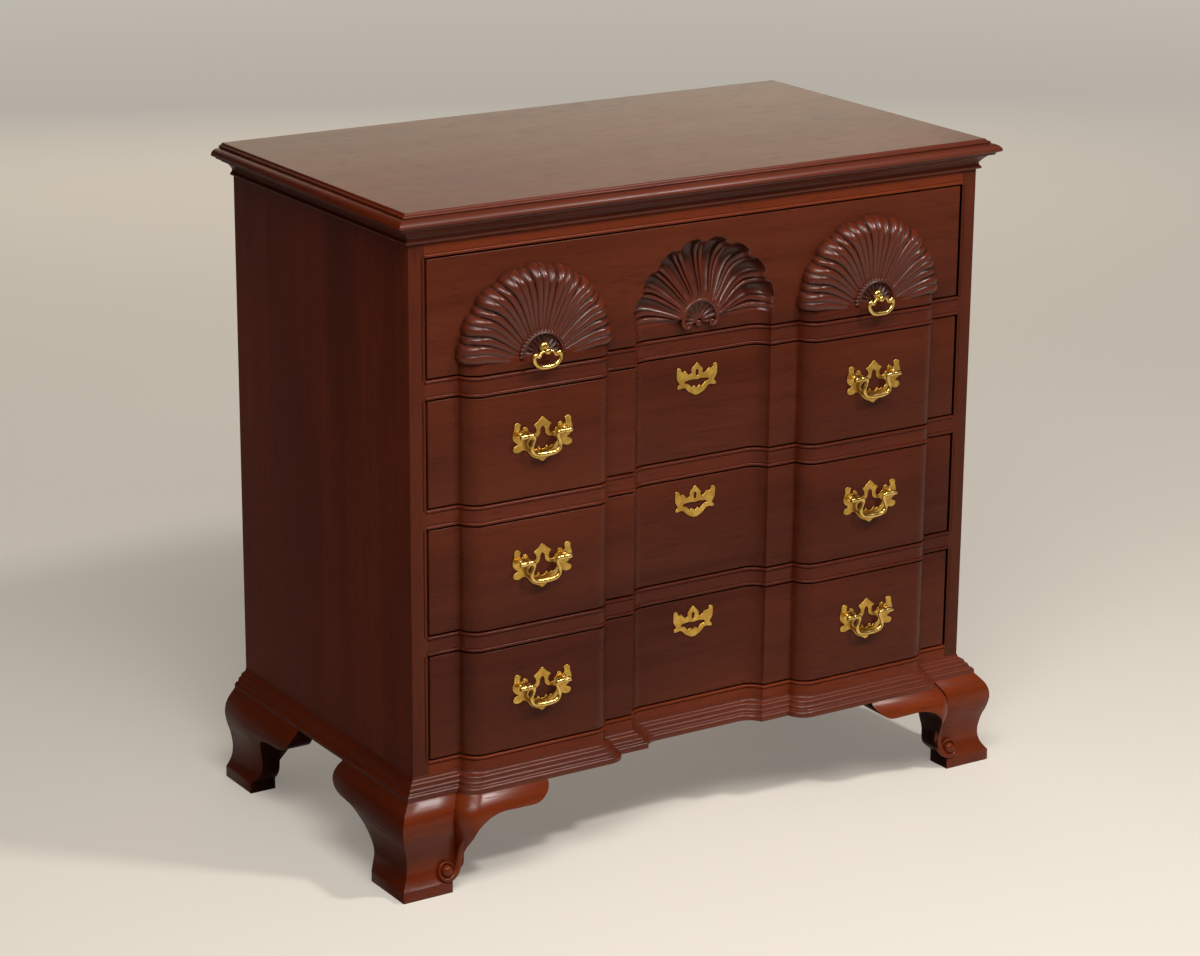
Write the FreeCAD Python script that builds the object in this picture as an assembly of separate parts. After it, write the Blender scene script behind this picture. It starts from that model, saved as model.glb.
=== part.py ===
"""Block front chest of drawers with carved shells, willow-pattern brasses and ogee bracket feet.

Millimetres, +Z up, floor at z = 0, front towards -Y. Every piece is drawn in the carcase's own
frame, where y = 0 is the front plane of the two stiles, and is moved by CENTRE_SHIFT as it is
written, so that the whole chest stands centred on the origin.
"""
import FreeCAD, Part
import math
import os

# ---- driving dimensions -------------------------------------------------------------------
HEIGHT = 876.0             # floor to the top board's upper face
CASE_HALF_WIDTH = 431.0    # outer face of a side panel
CASE_DEPTH = 462.0         # stile front to the back of the carcase
TOP_BACK_OVERHANG = 16.0   # top board past the back of the carcase
SIDE_THICKNESS = 22.5      # side panel, whose front edge is the stile
BACK_THICKNESS = 12.0

OPENING_TOP = 816.4        # underside of the top rail
TOP_OPENING = 152.8        # height of the top drawer's opening
OPENING = 140.3            # height of each of the three lower openings
BLADE = 24.7               # height of a drawer blade
BASE_TOP = 151.6           # top of the base moulding
BASE_BOTTOM = 128.0        # underside of the carcase and of the base moulding

BLOCK_RISE = 21.0          # the two outer blocks stand this far in front of the stiles
RECESS_DEPTH = 17.0        # the middle is sunk this far behind them
BLOCK_OUTER = 362.0        # outer edge of a block
BLOCK_INNER = 148.0        # inner edge of a block
RECESS_EDGE = 104.0        # edge of the middle recess
TURN_RADIUS = 26.0         # round of every change of level
SPREAD = 0.8               # a moulding's turns move sideways by this share of its overhang

BEAD_HEIGHT = 4.0          # bead worked on the edge of a rail or stile
BEAD_PROUD = 1.2
STILE_BEAD = 4.0           # width of the bead let into the inner edge of a stile
DRAWER_GAP = 2.2           # clearance above and below a drawer front
SIDE_GAP = 3.0             # clearance at its ends
FRONT_BACK = 36.0          # back face of a drawer front
BOARD = 12.0               # drawer sides and backs
DRAWER_END = 440.0         # rear end of a drawer
BOTTOM_THICKNESS = 8.0
GROOVE = 5.0               # a drawer bottom's edge stands this deep in its grooves
RAIL_DEPTH = 70.0          # rails and blades, front to back
RUNNER_WIDTH = 32.0
RUNNER_HEIGHT = 20.0
LAP = 12.0                 # a drawer front laps over the ends of its sides by what is left past this
SIDE_BELOW_TOP = 10.0      # top edge of a drawer side, below the top of its opening
BACK_BELOW_TOP = 16.0      # the same for a drawer back
FLOOR_LIFT = 6.0           # underside of a drawer bottom, above the lower edge of its sides

BLOCK_CENTRE = (BLOCK_OUTER + BLOCK_INNER) / 2
PULL_ABOVE_MIDDLE = 13.4   # post line above the middle of a lower drawer
ESCUTCHEON_ABOVE_MIDDLE = 36.4
POST_SPACING = 64.0
PLATE_THICKNESS = 1.5
BAIL_RADIUS = 1.9
BAIL_DROP = 24.0
BORE_CLEARANCE = 0.06      # radial, between a bail's end and the eye it turns in
STAND_OFF = 8.0            # axis of a bail, in front of its plate or hub
EYE_RADIUS = 4.4
EYE_LENGTH = 9.0
SHANK_RADIUS = 2.5
COLLAR_RADII = (5.6, 3.6)  # at the plate and at the shank
COLLAR_HEIGHT = 2.0
NUT_RADIUS = 5.5
NUT_HEIGHT = 4.0
NUT_SPACE = 8.0            # a post runs this far past its drawer front's back
BAIL_TUCK = 1.0            # a bail's ends show this far beyond their eyes
BAIL_PATH = [(-17.6, 0.0), (-22.2, -15.0), (-15.0, -BAIL_DROP)]
BAIL_ROUNDS = [4.0, 5.0, 9.0]
SLOT_HALF_WIDTH = 1.6      # key slot in an escutcheon's finial
SLOT_SPAN = (5.6, 10.4)
DRILL_LENGTH = 120.0       # longer than any hole, so that each one runs right through

SHELL_BASE = 683.0         # lower edge of the carved shells
SHELL_RADIUS = 112.0
RECESSED_SHELL_RADIUS = 110.0
LOBES = 9
LOBE_TIP = 7.0             # degrees that the lowest lobes stand above level
FLUTES = 8                 # hollows of the sunk shell
FLUTE_TIP = 17.9           # the same for its lowest hollows
LOBE_START = 5.0           # radius of a lobe where it leaves the hub's middle
LOBE_FULLNESS = 1.08       # neighbouring lobes overlap by this much at their round ends
STANDING_RISE = 13.0       # middle of a standing lobe's outer end, in front of the stiles
SUNK_DEPTH = 12.0          # middle of a sunk lobe's outer end, behind them
CORE_HEIGHT = 18.0         # cone that carries the standing lobes
BOWL_DEPTH = 12.0
HUB_RADIUS = 29.5
HUB_FRONT = 25.0           # hub face in front of the stiles
HUB_RIM = 4.5
HUB_DISH = 4.0
BOSS_RADIUS = 11.0
SUNK_HUB_RADIUS = 28.5
SUNK_HUB_HEIGHT = 26.5
RING_BAIL_RADIUS = 1.4
RING_SHANK_RADIUS = 2.0
RING_NUT_RADIUS = 5.0
RING_NUT_HEIGHT = 3.5
RING_NUT_SPACE = 6.0
ROSE_RADII = (7.0, 6.0)    # at the hub and at the shank
ROSE_HEIGHT = 2.5
RING_HEAD_RADIUS = 4.8
RING_DROP = 23.0
RING_ABOVE_BASE = 4.6
RING_PATH = [(-3.4, 0.0), (-12.4, 0.0), (-19.2, -3.8), (-18.8, -17.4), (-12.8, -RING_DROP)]
RING_ROUNDS = [2.4, 3.4, 5.0, 7.0]

FOOT_OVERHANG = 34.0       # at the swell and at the pad
INSET = 3.0                # a bracket's inner face, inside the face of the case
PAD_HEIGHT = 15.0
SCROLL_X = -398.0          # carved scroll at the bottom of each front foot's block
SCROLL_HEIGHT = 26.5
SCROLL_RADIUS = 11.5
SCROLL_FRONT = 33.0        # in front of the stiles
WING_END = -250.0          # the ogee block is drawn to here, past the tip of the front wing
SIDE_REACH = 215.0         # the same for a side bracket, from the front or the back of the case
WING_ROOTS = {False: 153.0, True: 187.0}   # where a front and a rear wing meet the base moulding
BACK_BRACKET_THICKNESS = 20.0
GLUE_BLOCK = 16.0
GLUE_BLOCK_LIFT = 3.0      # glue blocks stay clear of the floor
CLEAR_OUT = 500.0          # further out than any part of a foot

# ---- profiles, as (overhang past the case, height) pairs ----------------------------------
TOP_EDGE = [(17.2, 856.0), (17.6, 857.3), (18.8, 858.0), (21.4, 859.4), (23.3, 860.1), (24.1, 861.0),
            (23.7, 863.1), (22.7, 865.2), (21.0, 866.9), (18.8, 868.2), (14.7, 869.4), (12.0, 870.2),
            (9.5, 872.8), (6.4, HEIGHT)]
COVE = [(1.6, 835.0), (4.6, 836.4), (4.9, 837.5), (3.4, 839.9), (2.2, 842.4), (2.8, 844.4), (4.1, 846.2),
        (7.2, 850.2), (10.8, 853.6), (14.0, 854.6), (17.0, 855.6), (17.2, 856.0)]
BASE = [(17.6, BASE_BOTTOM), (17.6, 130.6), (16.9, 133.4), (15.0, 135.4), (12.4, 136.0), (10.6, 136.3),
        (10.6, 137.8), (9.8, 140.4), (8.6, 142.0), (8.2, 143.2), (7.0, 146.0), (4.4, 147.4), (3.6, 147.8),
        (2.8, 149.2), (1.2, 151.0), (0.8, BASE_TOP)]
OGEE = [(34.0, 0.0), (34.0, PAD_HEIGHT), (30.5, 19.5), (26.6, 26.0), (24.0, 34.0), (23.2, 43.0), (24.0, 52.0),
        (26.6, 65.0), (30.0, 75.0), (32.4, 84.0), (33.8, 94.0), (32.6, 104.0), (29.4, 112.0), (24.6, 119.5),
        (18.0, BASE_BOTTOM)]

# ---- outlines; x or y and height, chosen point by point ------------------------------------
FRONT_BRACKET = [(-394.0, 0.0), (-394.0, 17.0), (-378.5, 32.6), (-376.5, 53.5), (-372.3, 68.5),
                 (-366.5, 85.7), (-353.7, 96.7), (-333.6, 103.2), (-305.9, 103.3), (-279.5, 104.0),
                 (-265.2, 112.4), (-257.6, 121.6)]
SIDE_BRACKET = [(50.0, 0.0), (50.0, 15.0), (57.0, 24.0), (61.4, 36.3), (67.5, 46.5), (77.6, 62.3), (89.7, 76.5),
                (104.2, 84.2), (120.8, 86.9), (135.4, 89.3), (148.0, 96.0), (155.4, 107.0), (156.4, 119.0)]
REAR_BRACKET = [(74.0, 0.0), (74.0, 15.0), (82.0, 23.0), (87.6, 33.0), (89.4, 46.0), (91.6, 60.0), (96.0, 74.0),
                (105.0, 85.4), (122.0, 90.3), (139.0, 91.8), (156.0, 92.9), (170.0, 95.8), (179.6, 101.5),
                (184.6, 108.6), (187.0, 117.0)]
WILLOW = [(0.0, 20.7), (3.6, 17.2), (5.2, 14.4), (8.6, 12.2), (12.4, 9.0), (9.7, 7.0), (8.7, 3.4),
          (11.4, -0.4), (16.0, -0.8), (20.0, 2.5), (22.6, 7.0), (25.8, 10.6), (28.6, 8.4), (31.6, 9.6),
          (33.6, 13.2), (35.2, 16.6), (38.4, 17.9), (41.6, 15.6), (40.9, 10.6), (43.1, 6.4), (44.2, 1.2),
          (41.8, -4.4), (37.2, -9.2), (40.6, -12.4), (42.2, -16.2), (38.6, -20.0), (33.0, -18.9),
          (28.2, -16.2), (24.2, -18.2), (20.0, -25.0), (14.2, -29.8), (8.6, -31.6), (5.0, -33.6),
          (0.0, -37.0)]
WILLOW_PIERCING = [(0.0, 8.0), (3.7, 4.2), (4.9, -0.8), (9.0, -5.2), (15.0, -6.2), (20.0, -7.4),
                   (21.8, -11.0), (19.4, -15.4), (14.8, -19.6), (10.2, -18.2), (6.2, -20.2), (0.0, -19.2)]
KEY_PLATE = [(0.0, 21.2), (3.0, 17.4), (8.4, 12.8), (6.1, 9.4), (6.4, 5.6), (10.0, 4.6), (13.6, 6.6),
             (18.0, 10.8), (22.0, 11.4), (25.0, 14.6), (27.8, 16.9), (30.6, 13.6), (29.4, 9.4), (31.2, 5.4),
             (28.6, 1.0), (25.2, -2.6), (27.9, -7.8), (24.0, -10.6), (19.4, -9.2), (14.8, -13.2),
             (8.0, -18.4), (3.4, -20.0), (0.0, -21.2)]
KEY_PLATE_PIERCING = [(0.0, -1.4), (8.0, -0.9), (16.4, -0.3), (18.3, -3.0), (15.0, -6.8), (9.0, -8.8),
                      (4.8, -7.0), (0.0, -9.6)]
BACK_BRACKET = [(0.0, 0.0), (20.0, 0.0), (50.0, 30.0), (84.0, 76.0), (104.0, BASE_BOTTOM), (0.0, BASE_BOTTOM)]

# ---- derived levels -------------------------------------------------------------------------
TOP_UNDERSIDE = TOP_EDGE[0][1]
OPENING_HALF_WIDTH = CASE_HALF_WIDTH - SIDE_THICKNESS
DRAWER_HALF_WIDTH = OPENING_HALF_WIDTH - SIDE_GAP
HEIGHTS = [TOP_OPENING, OPENING, OPENING, OPENING]
BACK_FACE = CASE_DEPTH - BACK_THICKNESS
BLOCK_FACE = -BLOCK_RISE
EYE_Y = BLOCK_FACE - PLATE_THICKNESS - STAND_OFF
RING_Y = -HUB_FRONT - STAND_OFF
BRACKET_BACK = CASE_DEPTH - BACK_BRACKET_THICKNESS
SAME_POINT = 1e-4
FRONT_MOST = -(BLOCK_RISE + FOOT_OVERHANG)
BACK_MOST = CASE_DEPTH + TOP_BACK_OVERHANG
CENTRE_SHIFT = -(FRONT_MOST + BACK_MOST) / 2
TURN_SIDE = math.sqrt(TURN_RADIUS ** 2 - (TURN_RADIUS - BLOCK_RISE) ** 2)
RECESS_SIDE = math.sqrt(TURN_RADIUS ** 2 - (TURN_RADIUS - RECESS_DEPTH) ** 2)


def opening_levels():
    """Bottom and top of the four drawer openings, the top drawer first."""
    levels = []
    top = OPENING_TOP
    for height in HEIGHTS:
        levels.append((top - height, top))
        top = top - height - BLADE
    return levels


LEVELS = opening_levels()
BOTTOM_RAIL_TOP = LEVELS[-1][0]


def point(x, y, z=0.0):
    return FreeCAD.Vector(x, y, z)


def box(x_range, y_range, z_range):
    """A box between two values on each axis."""
    size = [end - start for start, end in (x_range, y_range, z_range)]
    return Part.makeBox(size[0], size[1], size[2], point(x_range[0], y_range[0], z_range[0]))


def mirror_x(shape):
    return shape.mirror(point(0, 0, 0), point(1, 0, 0))


def write(name, shape):
    """Move a piece to its place round the origin and keep it as one STEP file."""
    moved = shape.copy()
    moved.translate(point(0, CENTRE_SHIFT, 0))
    moved.exportStep("parts/" + name + ".step")
    print(name, "valid" if moved.isValid() else "INVALID", len(moved.Solids), round(moved.Volume / 1000, 1))


# ---- the block front contour in plan ---------------------------------------------------------
def turn(edge_x, centre_x, centre_y, far_y, edge_y, z):
    """A quarter-like round from the edge of a block or recess to the level beyond it."""
    start = point(edge_x, edge_y, z)
    end = point(centre_x, far_y, z)
    start_angle = math.atan2(edge_y - centre_y, edge_x - centre_x)
    end_angle = math.atan2(far_y - centre_y, 0.0)
    middle_angle = (start_angle + end_angle) / 2
    middle = point(centre_x + TURN_RADIUS * math.cos(middle_angle),
                   centre_y + TURN_RADIUS * math.sin(middle_angle), z)
    return start, middle, end


def left_turns(overhang, z):
    """The three rounds of the front's left half, as (start, middle, end) from left to right."""
    spread = SPREAD * overhang
    block_y = -BLOCK_RISE - overhang
    turn_y = block_y + TURN_RADIUS
    recess_y = RECESS_DEPTH - overhang
    hollow_y = recess_y - TURN_RADIUS
    outer = turn(-BLOCK_OUTER - spread, -BLOCK_OUTER - spread + TURN_SIDE, turn_y, block_y, -overhang, z)
    inner = turn(-BLOCK_INNER + spread, -BLOCK_INNER + spread - TURN_SIDE, turn_y, block_y, -overhang, z)
    recess_x = -RECESS_EDGE + spread
    recess = turn(recess_x, recess_x + RECESS_SIDE, hollow_y, recess_y, -overhang, z)
    return [outer, inner[::-1], recess]


def flipped(points):
    """A round of the left half as the matching round of the right half."""
    return tuple(point(-p.x, p.y, p.z) for p in points[::-1])


def contour(overhang, half_width, z):
    """Edges along the whole front, left to right, standing the overhang in front of the case."""
    left = left_turns(overhang, z)
    rounds = left + [flipped(r) for r in left[::-1]]
    edges = []
    at = point(-half_width, -overhang, z)
    for start, middle, end in rounds:
        edges.append(Part.LineSegment(at, start).toShape())
        edges.append(Part.Arc(start, middle, end).toShape())
        at = end
    edges.append(Part.LineSegment(at, point(half_width, -overhang, z)).toShape())
    return edges


def straight_edges(points):
    return [Part.LineSegment(a, b).toShape() for a, b in zip(points, points[1:])]


def fronted_slab(half_width, back_y, z_range, overhang=0.0):
    """A board whose front follows the block contour and whose back is flat."""
    z = z_range[0]
    edges = contour(overhang, half_width, z)
    edges += straight_edges([point(half_width, -overhang, z), point(half_width, back_y, z),
                             point(-half_width, back_y, z), point(-half_width, -overhang, z)])
    return Part.Face(Part.Wire(edges)).extrude(point(0, 0, z_range[1] - z))


def lofted(sections):
    """A solid ruled through closed sections, one above the other."""
    return Part.makeLoft(sections, True, True)


def polygon(points):
    return Part.makePolygon(points + [points[0]])


# ---- carcase ---------------------------------------------------------------------------------
def make_top():
    """Top board: its edge is moulded on three sides and cut off square at the back."""
    sections = []
    for overhang, z in TOP_EDGE:
        x = CASE_HALF_WIDTH + overhang
        sections.append(polygon([point(-x, -overhang, z), point(x, -overhang, z),
                                 point(x, BACK_MOST, z), point(-x, BACK_MOST, z)]))
    write("top_board", lofted(sections))


def side_return(profile, inner=0.0):
    """A moulding along the left side, mitred to the front one."""
    sections = []
    for overhang, z in profile:
        x = -CASE_HALF_WIDTH - overhang
        near = -CASE_HALF_WIDTH + inner
        sections.append(polygon([point(near, inner, z), point(x, -overhang, z),
                                 point(x, CASE_DEPTH, z), point(near, CASE_DEPTH, z)]))
    return lofted(sections)


def make_mouldings():
    """Cove and bead under the top; stepped base moulding that follows the blocks."""
    sections = []
    for overhang, z in COVE:
        x = CASE_HALF_WIDTH + overhang
        sections.append(polygon([point(-x, -overhang, z), point(x, -overhang, z),
                                 point(CASE_HALF_WIDTH, 0, z), point(-CASE_HALF_WIDTH, 0, z)]))
    write("top_moulding_front", lofted(sections))
    left = side_return(COVE)
    write("top_moulding_sides", Part.makeCompound([left, mirror_x(left)]))

    sections = []
    for overhang, z in BASE:
        x = CASE_HALF_WIDTH + overhang
        inner = contour(0.0, CASE_HALF_WIDTH, z)
        ends = straight_edges([point(x, -overhang, z), point(CASE_HALF_WIDTH, 0, z)])
        ends += straight_edges([point(-CASE_HALF_WIDTH, 0, z), point(-x, -overhang, z)])
        sections.append(Part.Wire(Part.__sortEdges__(contour(overhang, x, z) + ends + inner)))
    write("base_moulding_front", lofted(sections))
    left = side_return(BASE)
    write("base_moulding_sides", Part.makeCompound([left, mirror_x(left)]))


def beaded_slab(z_range, beads):
    """A rail or blade with a bead worked on its lower edge, its upper edge or both."""
    low, high = z_range
    shape = fronted_slab(OPENING_HALF_WIDTH, RAIL_DEPTH, z_range)
    for bottom in beads:
        strip = fronted_slab(OPENING_HALF_WIDTH, RAIL_DEPTH, (bottom, bottom + BEAD_HEIGHT), BEAD_PROUD)
        shape = shape.fuse(strip)
    return shape.removeSplitter()


def make_carcase():
    """Sides, back, rails, blades, stile beads, runners and the bottom board."""
    bead_x = (-OPENING_HALF_WIDTH - STILE_BEAD, -OPENING_HALF_WIDTH)
    beads = [box(bead_x, (-BEAD_PROUD, BOARD), level) for level in LEVELS]
    write("stile_beads", Part.makeCompound(beads + [mirror_x(b) for b in beads]))
    left = box((-CASE_HALF_WIDTH, -OPENING_HALF_WIDTH), (0, CASE_DEPTH), (BASE_BOTTOM, TOP_UNDERSIDE))
    left = left.cut(Part.makeCompound(beads))
    write("side_panel_left", left)
    write("side_panel_right", mirror_x(left))
    inside = (-OPENING_HALF_WIDTH, OPENING_HALF_WIDTH)
    write("back_panel", box(inside, (BACK_FACE, CASE_DEPTH), (BASE_BOTTOM, TOP_UNDERSIDE)))

    rail = box(inside, (0, RAIL_DEPTH), (OPENING_TOP, TOP_UNDERSIDE))
    bead = box(inside, (-BEAD_PROUD, RAIL_DEPTH), (OPENING_TOP, OPENING_TOP + BEAD_HEIGHT))
    write("top_rail", rail.fuse(bead).removeSplitter())
    for name, level in zip(("upper", "middle", "lower"), LEVELS):
        low = level[0] - BLADE
        write("drawer_blade_" + name, beaded_slab((low, level[0]), [low, level[0] - BEAD_HEIGHT]))
    write("bottom_rail", beaded_slab((BASE_BOTTOM, BOTTOM_RAIL_TOP), [BOTTOM_RAIL_TOP - BEAD_HEIGHT]))

    runners = []
    for low, high in LEVELS[:-1]:
        runner = box((-OPENING_HALF_WIDTH, -OPENING_HALF_WIDTH + RUNNER_WIDTH), (RAIL_DEPTH, BACK_FACE),
                     (low - RUNNER_HEIGHT, low))
        runners += [runner, mirror_x(runner)]
    write("drawer_runners", Part.makeCompound(runners))
    write("bottom_board", box(inside, (RAIL_DEPTH, BACK_FACE), (BOTTOM_RAIL_TOP - BOARD, BOTTOM_RAIL_TOP)))


# ---- feet ------------------------------------------------------------------------------------
def outline_prism(points, closing, plane, near, far):
    """A prism whose outline runs straight up the pad, then along a spline, then back by straight lines."""
    def place(pair, at):
        return point(pair[0], at, pair[1]) if plane == "xz" else point(at, pair[0], pair[1])
    spline = Part.BSplineCurve()
    spline.interpolate([place(pair, near) for pair in points[1:]])
    edges = straight_edges([place(points[0], near), place(points[1], near)])
    edges.append(spline.toShape())
    edges += straight_edges([place(pair, near) for pair in [points[-1]] + closing + [points[0]]])
    reach = point(0, far - near, 0) if plane == "xz" else point(far - near, 0, 0)
    return Part.Face(Part.Wire(edges)).extrude(reach)


def front_bracket():
    """Left front bracket: a flat ogee part by the corner, then the block carried down and round."""
    sections = []
    for overhang, z in OGEE:
        corner = point(-CASE_HALF_WIDTH - overhang, -overhang, z)
        start, middle, crown = left_turns(overhang, z)[0]
        edges = straight_edges([corner, start])
        edges.append(Part.Arc(start, middle, crown).toShape())
        edges += straight_edges([crown, point(WING_END, crown.y, z), point(WING_END, INSET, z),
                                 point(-CASE_HALF_WIDTH + INSET, INSET, z), corner])
        sections.append(Part.Wire(edges))
    closing = [(-257.0, BASE_BOTTOM), (-CLEAR_OUT, BASE_BOTTOM), (-CLEAR_OUT, 0.0)]
    shape = lofted(sections).common(outline_prism(FRONT_BRACKET, closing, "xz", -CLEAR_OUT, CLEAR_OUT))
    scroll = point(SCROLL_X, 0, SCROLL_HEIGHT)
    disc = Part.makeCylinder(SCROLL_RADIUS, SCROLL_FRONT, scroll, point(0, -1, 0))
    button = Part.makeSphere(SCROLL_RADIUS / 2, point(SCROLL_X, -SCROLL_FRONT, SCROLL_HEIGHT))
    return shape.fuse([disc, button])


def side_bracket(at_back):
    """Left side bracket; the rear one is longer, faces the other way and is cut off at the case's back."""
    sections = []
    for overhang, z in OGEE:
        outer = -CASE_HALF_WIDTH - overhang
        inner = -CASE_HALF_WIDTH + INSET
        if at_back:
            corners = [point(inner, CASE_DEPTH, z), point(outer, CASE_DEPTH, z),
                       point(outer, CASE_DEPTH - SIDE_REACH, z), point(inner, CASE_DEPTH - SIDE_REACH, z)]
        else:
            corners = [point(inner, INSET, z), point(outer, -overhang, z),
                       point(outer, SIDE_REACH, z), point(inner, SIDE_REACH, z)]
        sections.append(polygon(corners))
    outline = REAR_BRACKET if at_back else SIDE_BRACKET
    closing = [(WING_ROOTS[at_back], BASE_BOTTOM), (-CLEAR_OUT, BASE_BOTTOM), (-CLEAR_OUT, 0.0)]
    if at_back:
        outline = [(CASE_DEPTH - y, z) for y, z in outline]
        closing = [(CASE_DEPTH - y, z) for y, z in closing]
    prism = outline_prism(outline, closing, "yz", -CLEAR_OUT, 0.0)
    return lofted(sections).common(prism)


def make_feet():
    """Four feet: mitred ogee brackets in front, a shaped side bracket and a plain back bracket behind."""
    front = front_bracket()
    side = side_bracket(False)
    rear = side_bracket(True)
    for name, shape in (("front_foot_{}_front_bracket", front), ("front_foot_{}_side_bracket", side),
                        ("rear_foot_{}_side_bracket", rear)):
        write(name.format("left"), shape)
        write(name.format("right"), mirror_x(shape))

    inner = -CASE_HALF_WIDTH + INSET
    face = Part.Face(polygon([point(inner + x, BRACKET_BACK, z) for x, z in BACK_BRACKET]))
    back = face.extrude(point(0, BACK_BRACKET_THICKNESS, 0))
    write("rear_foot_back_brackets", Part.makeCompound([back, mirror_x(back)]))

    ends = [(INSET, INSET + GLUE_BLOCK), (BRACKET_BACK - GLUE_BLOCK, BRACKET_BACK)]
    blocks = [box((inner, inner + GLUE_BLOCK), y_range, (GLUE_BLOCK_LIFT, BASE_BOTTOM)) for y_range in ends]
    write("glue_blocks", Part.makeCompound(blocks + [mirror_x(b) for b in blocks]))


# ---- drawers ---------------------------------------------------------------------------------
def drill(radius, x=0.0, z=0.0):
    """A round cutter along Y that runs through the whole thickness of a front."""
    return Part.makeCylinder(radius, DRILL_LENGTH, point(x, -DRILL_LENGTH / 2, z), point(0, 1, 0))


def lobed_fan(radius, hollow_y, rise, count, tip):
    """Ribs that widen from the hub to rounded ends, fused to one body about (0, y, 0)."""
    step = (180.0 - 2 * tip) / (count - 1)
    half_angle = math.radians(step / 2)
    end_radius = (radius * math.sin(half_angle)) / (1 + math.sin(half_angle)) * LOBE_FULLNESS
    body_length = radius - end_radius
    shoulder = end_radius * math.cos(math.pi / 4)
    ribs = []
    for index in range(count):
        profile = Part.Wire([
            Part.LineSegment(point(0, 0, 0), point(LOBE_START, 0, 0)).toShape(),
            Part.LineSegment(point(LOBE_START, 0, 0), point(end_radius, 0, body_length)).toShape(),
            Part.Arc(point(end_radius, 0, body_length),
                     point(shoulder, 0, body_length + shoulder),
                     point(0, 0, radius)).toShape(),
            Part.LineSegment(point(0, 0, radius), point(0, 0, 0)).toShape()])
        rib = Part.Face(profile).revolve(point(0, 0, 0), point(0, 0, 1), 360)
        rib.rotate(point(0, 0, 0), point(1, 0, 0), -math.degrees(math.atan2(rise, radius)))
        rib.translate(point(0, hollow_y - rise, 0))
        rib.rotate(point(0, 0, 0), point(0, 1, 0), 90.0 - tip - index * step)
        ribs.append(rib)
    fan = ribs[0]
    for rib in ribs[1:]:
        fan = fan.fuse(rib)
    return fan


def standing_shell():
    """Convex shell glued on the top drawer over a block, with a round hub that carries the ring pull."""
    fan = lobed_fan(SHELL_RADIUS, -1.0, STANDING_RISE, LOBES, LOBE_TIP)
    core = Part.makeCone(SHELL_RADIUS * 0.93, HUB_RADIUS, CORE_HEIGHT, point(0, 0, 0), point(0, -1, 0))
    hub = Part.makeCylinder(HUB_RADIUS, HUB_FRONT, point(0, 0, 0), point(0, -1, 0))
    dish = Part.makeCylinder(HUB_RADIUS - HUB_RIM, HUB_DISH, point(0, -HUB_FRONT, 0), point(0, 1, 0))
    boss = Part.makeCylinder(BOSS_RADIUS, HUB_FRONT, point(0, 0, RING_ABOVE_BASE), point(0, -1, 0))
    shell = fan.fuse(core).fuse(hub).cut(dish).fuse(boss)
    keep = box((-CLEAR_OUT, CLEAR_OUT), (-CLEAR_OUT, 0), (0, CLEAR_OUT))
    return shell.common(keep).cut(drill(RING_SHANK_RADIUS, 0.0, RING_ABOVE_BASE))


def sunk_shell():
    """Body cut out of the top drawer's middle: a fluted hollow below a scalloped arch."""
    fan = lobed_fan(RECESSED_SHELL_RADIUS, 1.0, -SUNK_DEPTH, FLUTES, FLUTE_TIP)
    bowl = Part.makeCone(RECESSED_SHELL_RADIUS * 0.9, HUB_RADIUS, BOWL_DEPTH, point(0, 0, 0), point(0, 1, 0))
    return fan.fuse(bowl).common(box((-CLEAR_OUT, CLEAR_OUT), (-CLEAR_OUT, CLEAR_OUT), (0, CLEAR_OUT)))


def plain_front(level):
    low, high = level
    return fronted_slab(DRAWER_HALF_WIDTH, FRONT_BACK, (low + DRAWER_GAP, high - DRAWER_GAP))


def shell_front(level):
    """Top drawer front: flat above, blocks below the standing shells, a sunk shell in the middle."""
    low, high = level
    bottom = low + DRAWER_GAP
    lower = fronted_slab(DRAWER_HALF_WIDTH, FRONT_BACK, (bottom, SHELL_BASE))
    upper = box((-DRAWER_HALF_WIDTH, DRAWER_HALF_WIDTH), (0, FRONT_BACK), (SHELL_BASE, high - DRAWER_GAP))
    hollow = sunk_shell()
    hollow.translate(point(0, 0, SHELL_BASE))
    hub = Part.makeCylinder(SUNK_HUB_RADIUS, SUNK_HUB_HEIGHT, point(0, FRONT_BACK - 1.0, SHELL_BASE),
                            point(0, -1, 0))
    hub = hub.common(box((-CLEAR_OUT, CLEAR_OUT), (0, FRONT_BACK), (SHELL_BASE, CLEAR_OUT + SHELL_BASE)))
    return lower.fuse(upper.cut(hollow)).fuse(hub).removeSplitter()


def make_drawer_box(number, level, front):
    """Sides lapped into the front's ends, back between the sides, bottom in grooves all round."""
    low, high = level
    bottom = low + DRAWER_GAP
    side_x = (-DRAWER_HALF_WIDTH, -DRAWER_HALF_WIDTH + BOARD)
    side = box(side_x, (LAP, DRAWER_END), (bottom, high - SIDE_BELOW_TOP))
    floor_low = bottom + FLOOR_LIFT
    floor_high = floor_low + BOTTOM_THICKNESS
    half = DRAWER_HALF_WIDTH - BOARD + GROOVE
    floor = box((-half, half), (FRONT_BACK - GROOVE, DRAWER_END), (floor_low, floor_high))
    front = front.cut(Part.makeCompound([side, mirror_x(side)])).cut(floor)
    side = side.cut(floor)
    back_half = DRAWER_HALF_WIDTH - BOARD
    back = box((-back_half, back_half), (DRAWER_END - BOARD, DRAWER_END), (floor_high, high - BACK_BELOW_TOP))
    name = "drawer_{}_".format(number)
    write(name + "front", front)
    write(name + "sides", Part.makeCompound([side, mirror_x(side)]))
    write(name + "back", back)
    write(name + "bottom", floor)


# ---- brasses -----------------------------------------------------------------------------------
def symmetric_face(half, y):
    """A face bounded by one smooth closed curve through a half outline and its mirror image."""
    points = [point(x, y, z) for x, z in half]
    points += [point(-x, y, z) for x, z in half[-2:0:-1]]
    curve = Part.BSplineCurve()
    curve.interpolate(Points=points, PeriodicFlag=True)
    return Part.Face(Part.Wire([curve.toShape()]))


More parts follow.
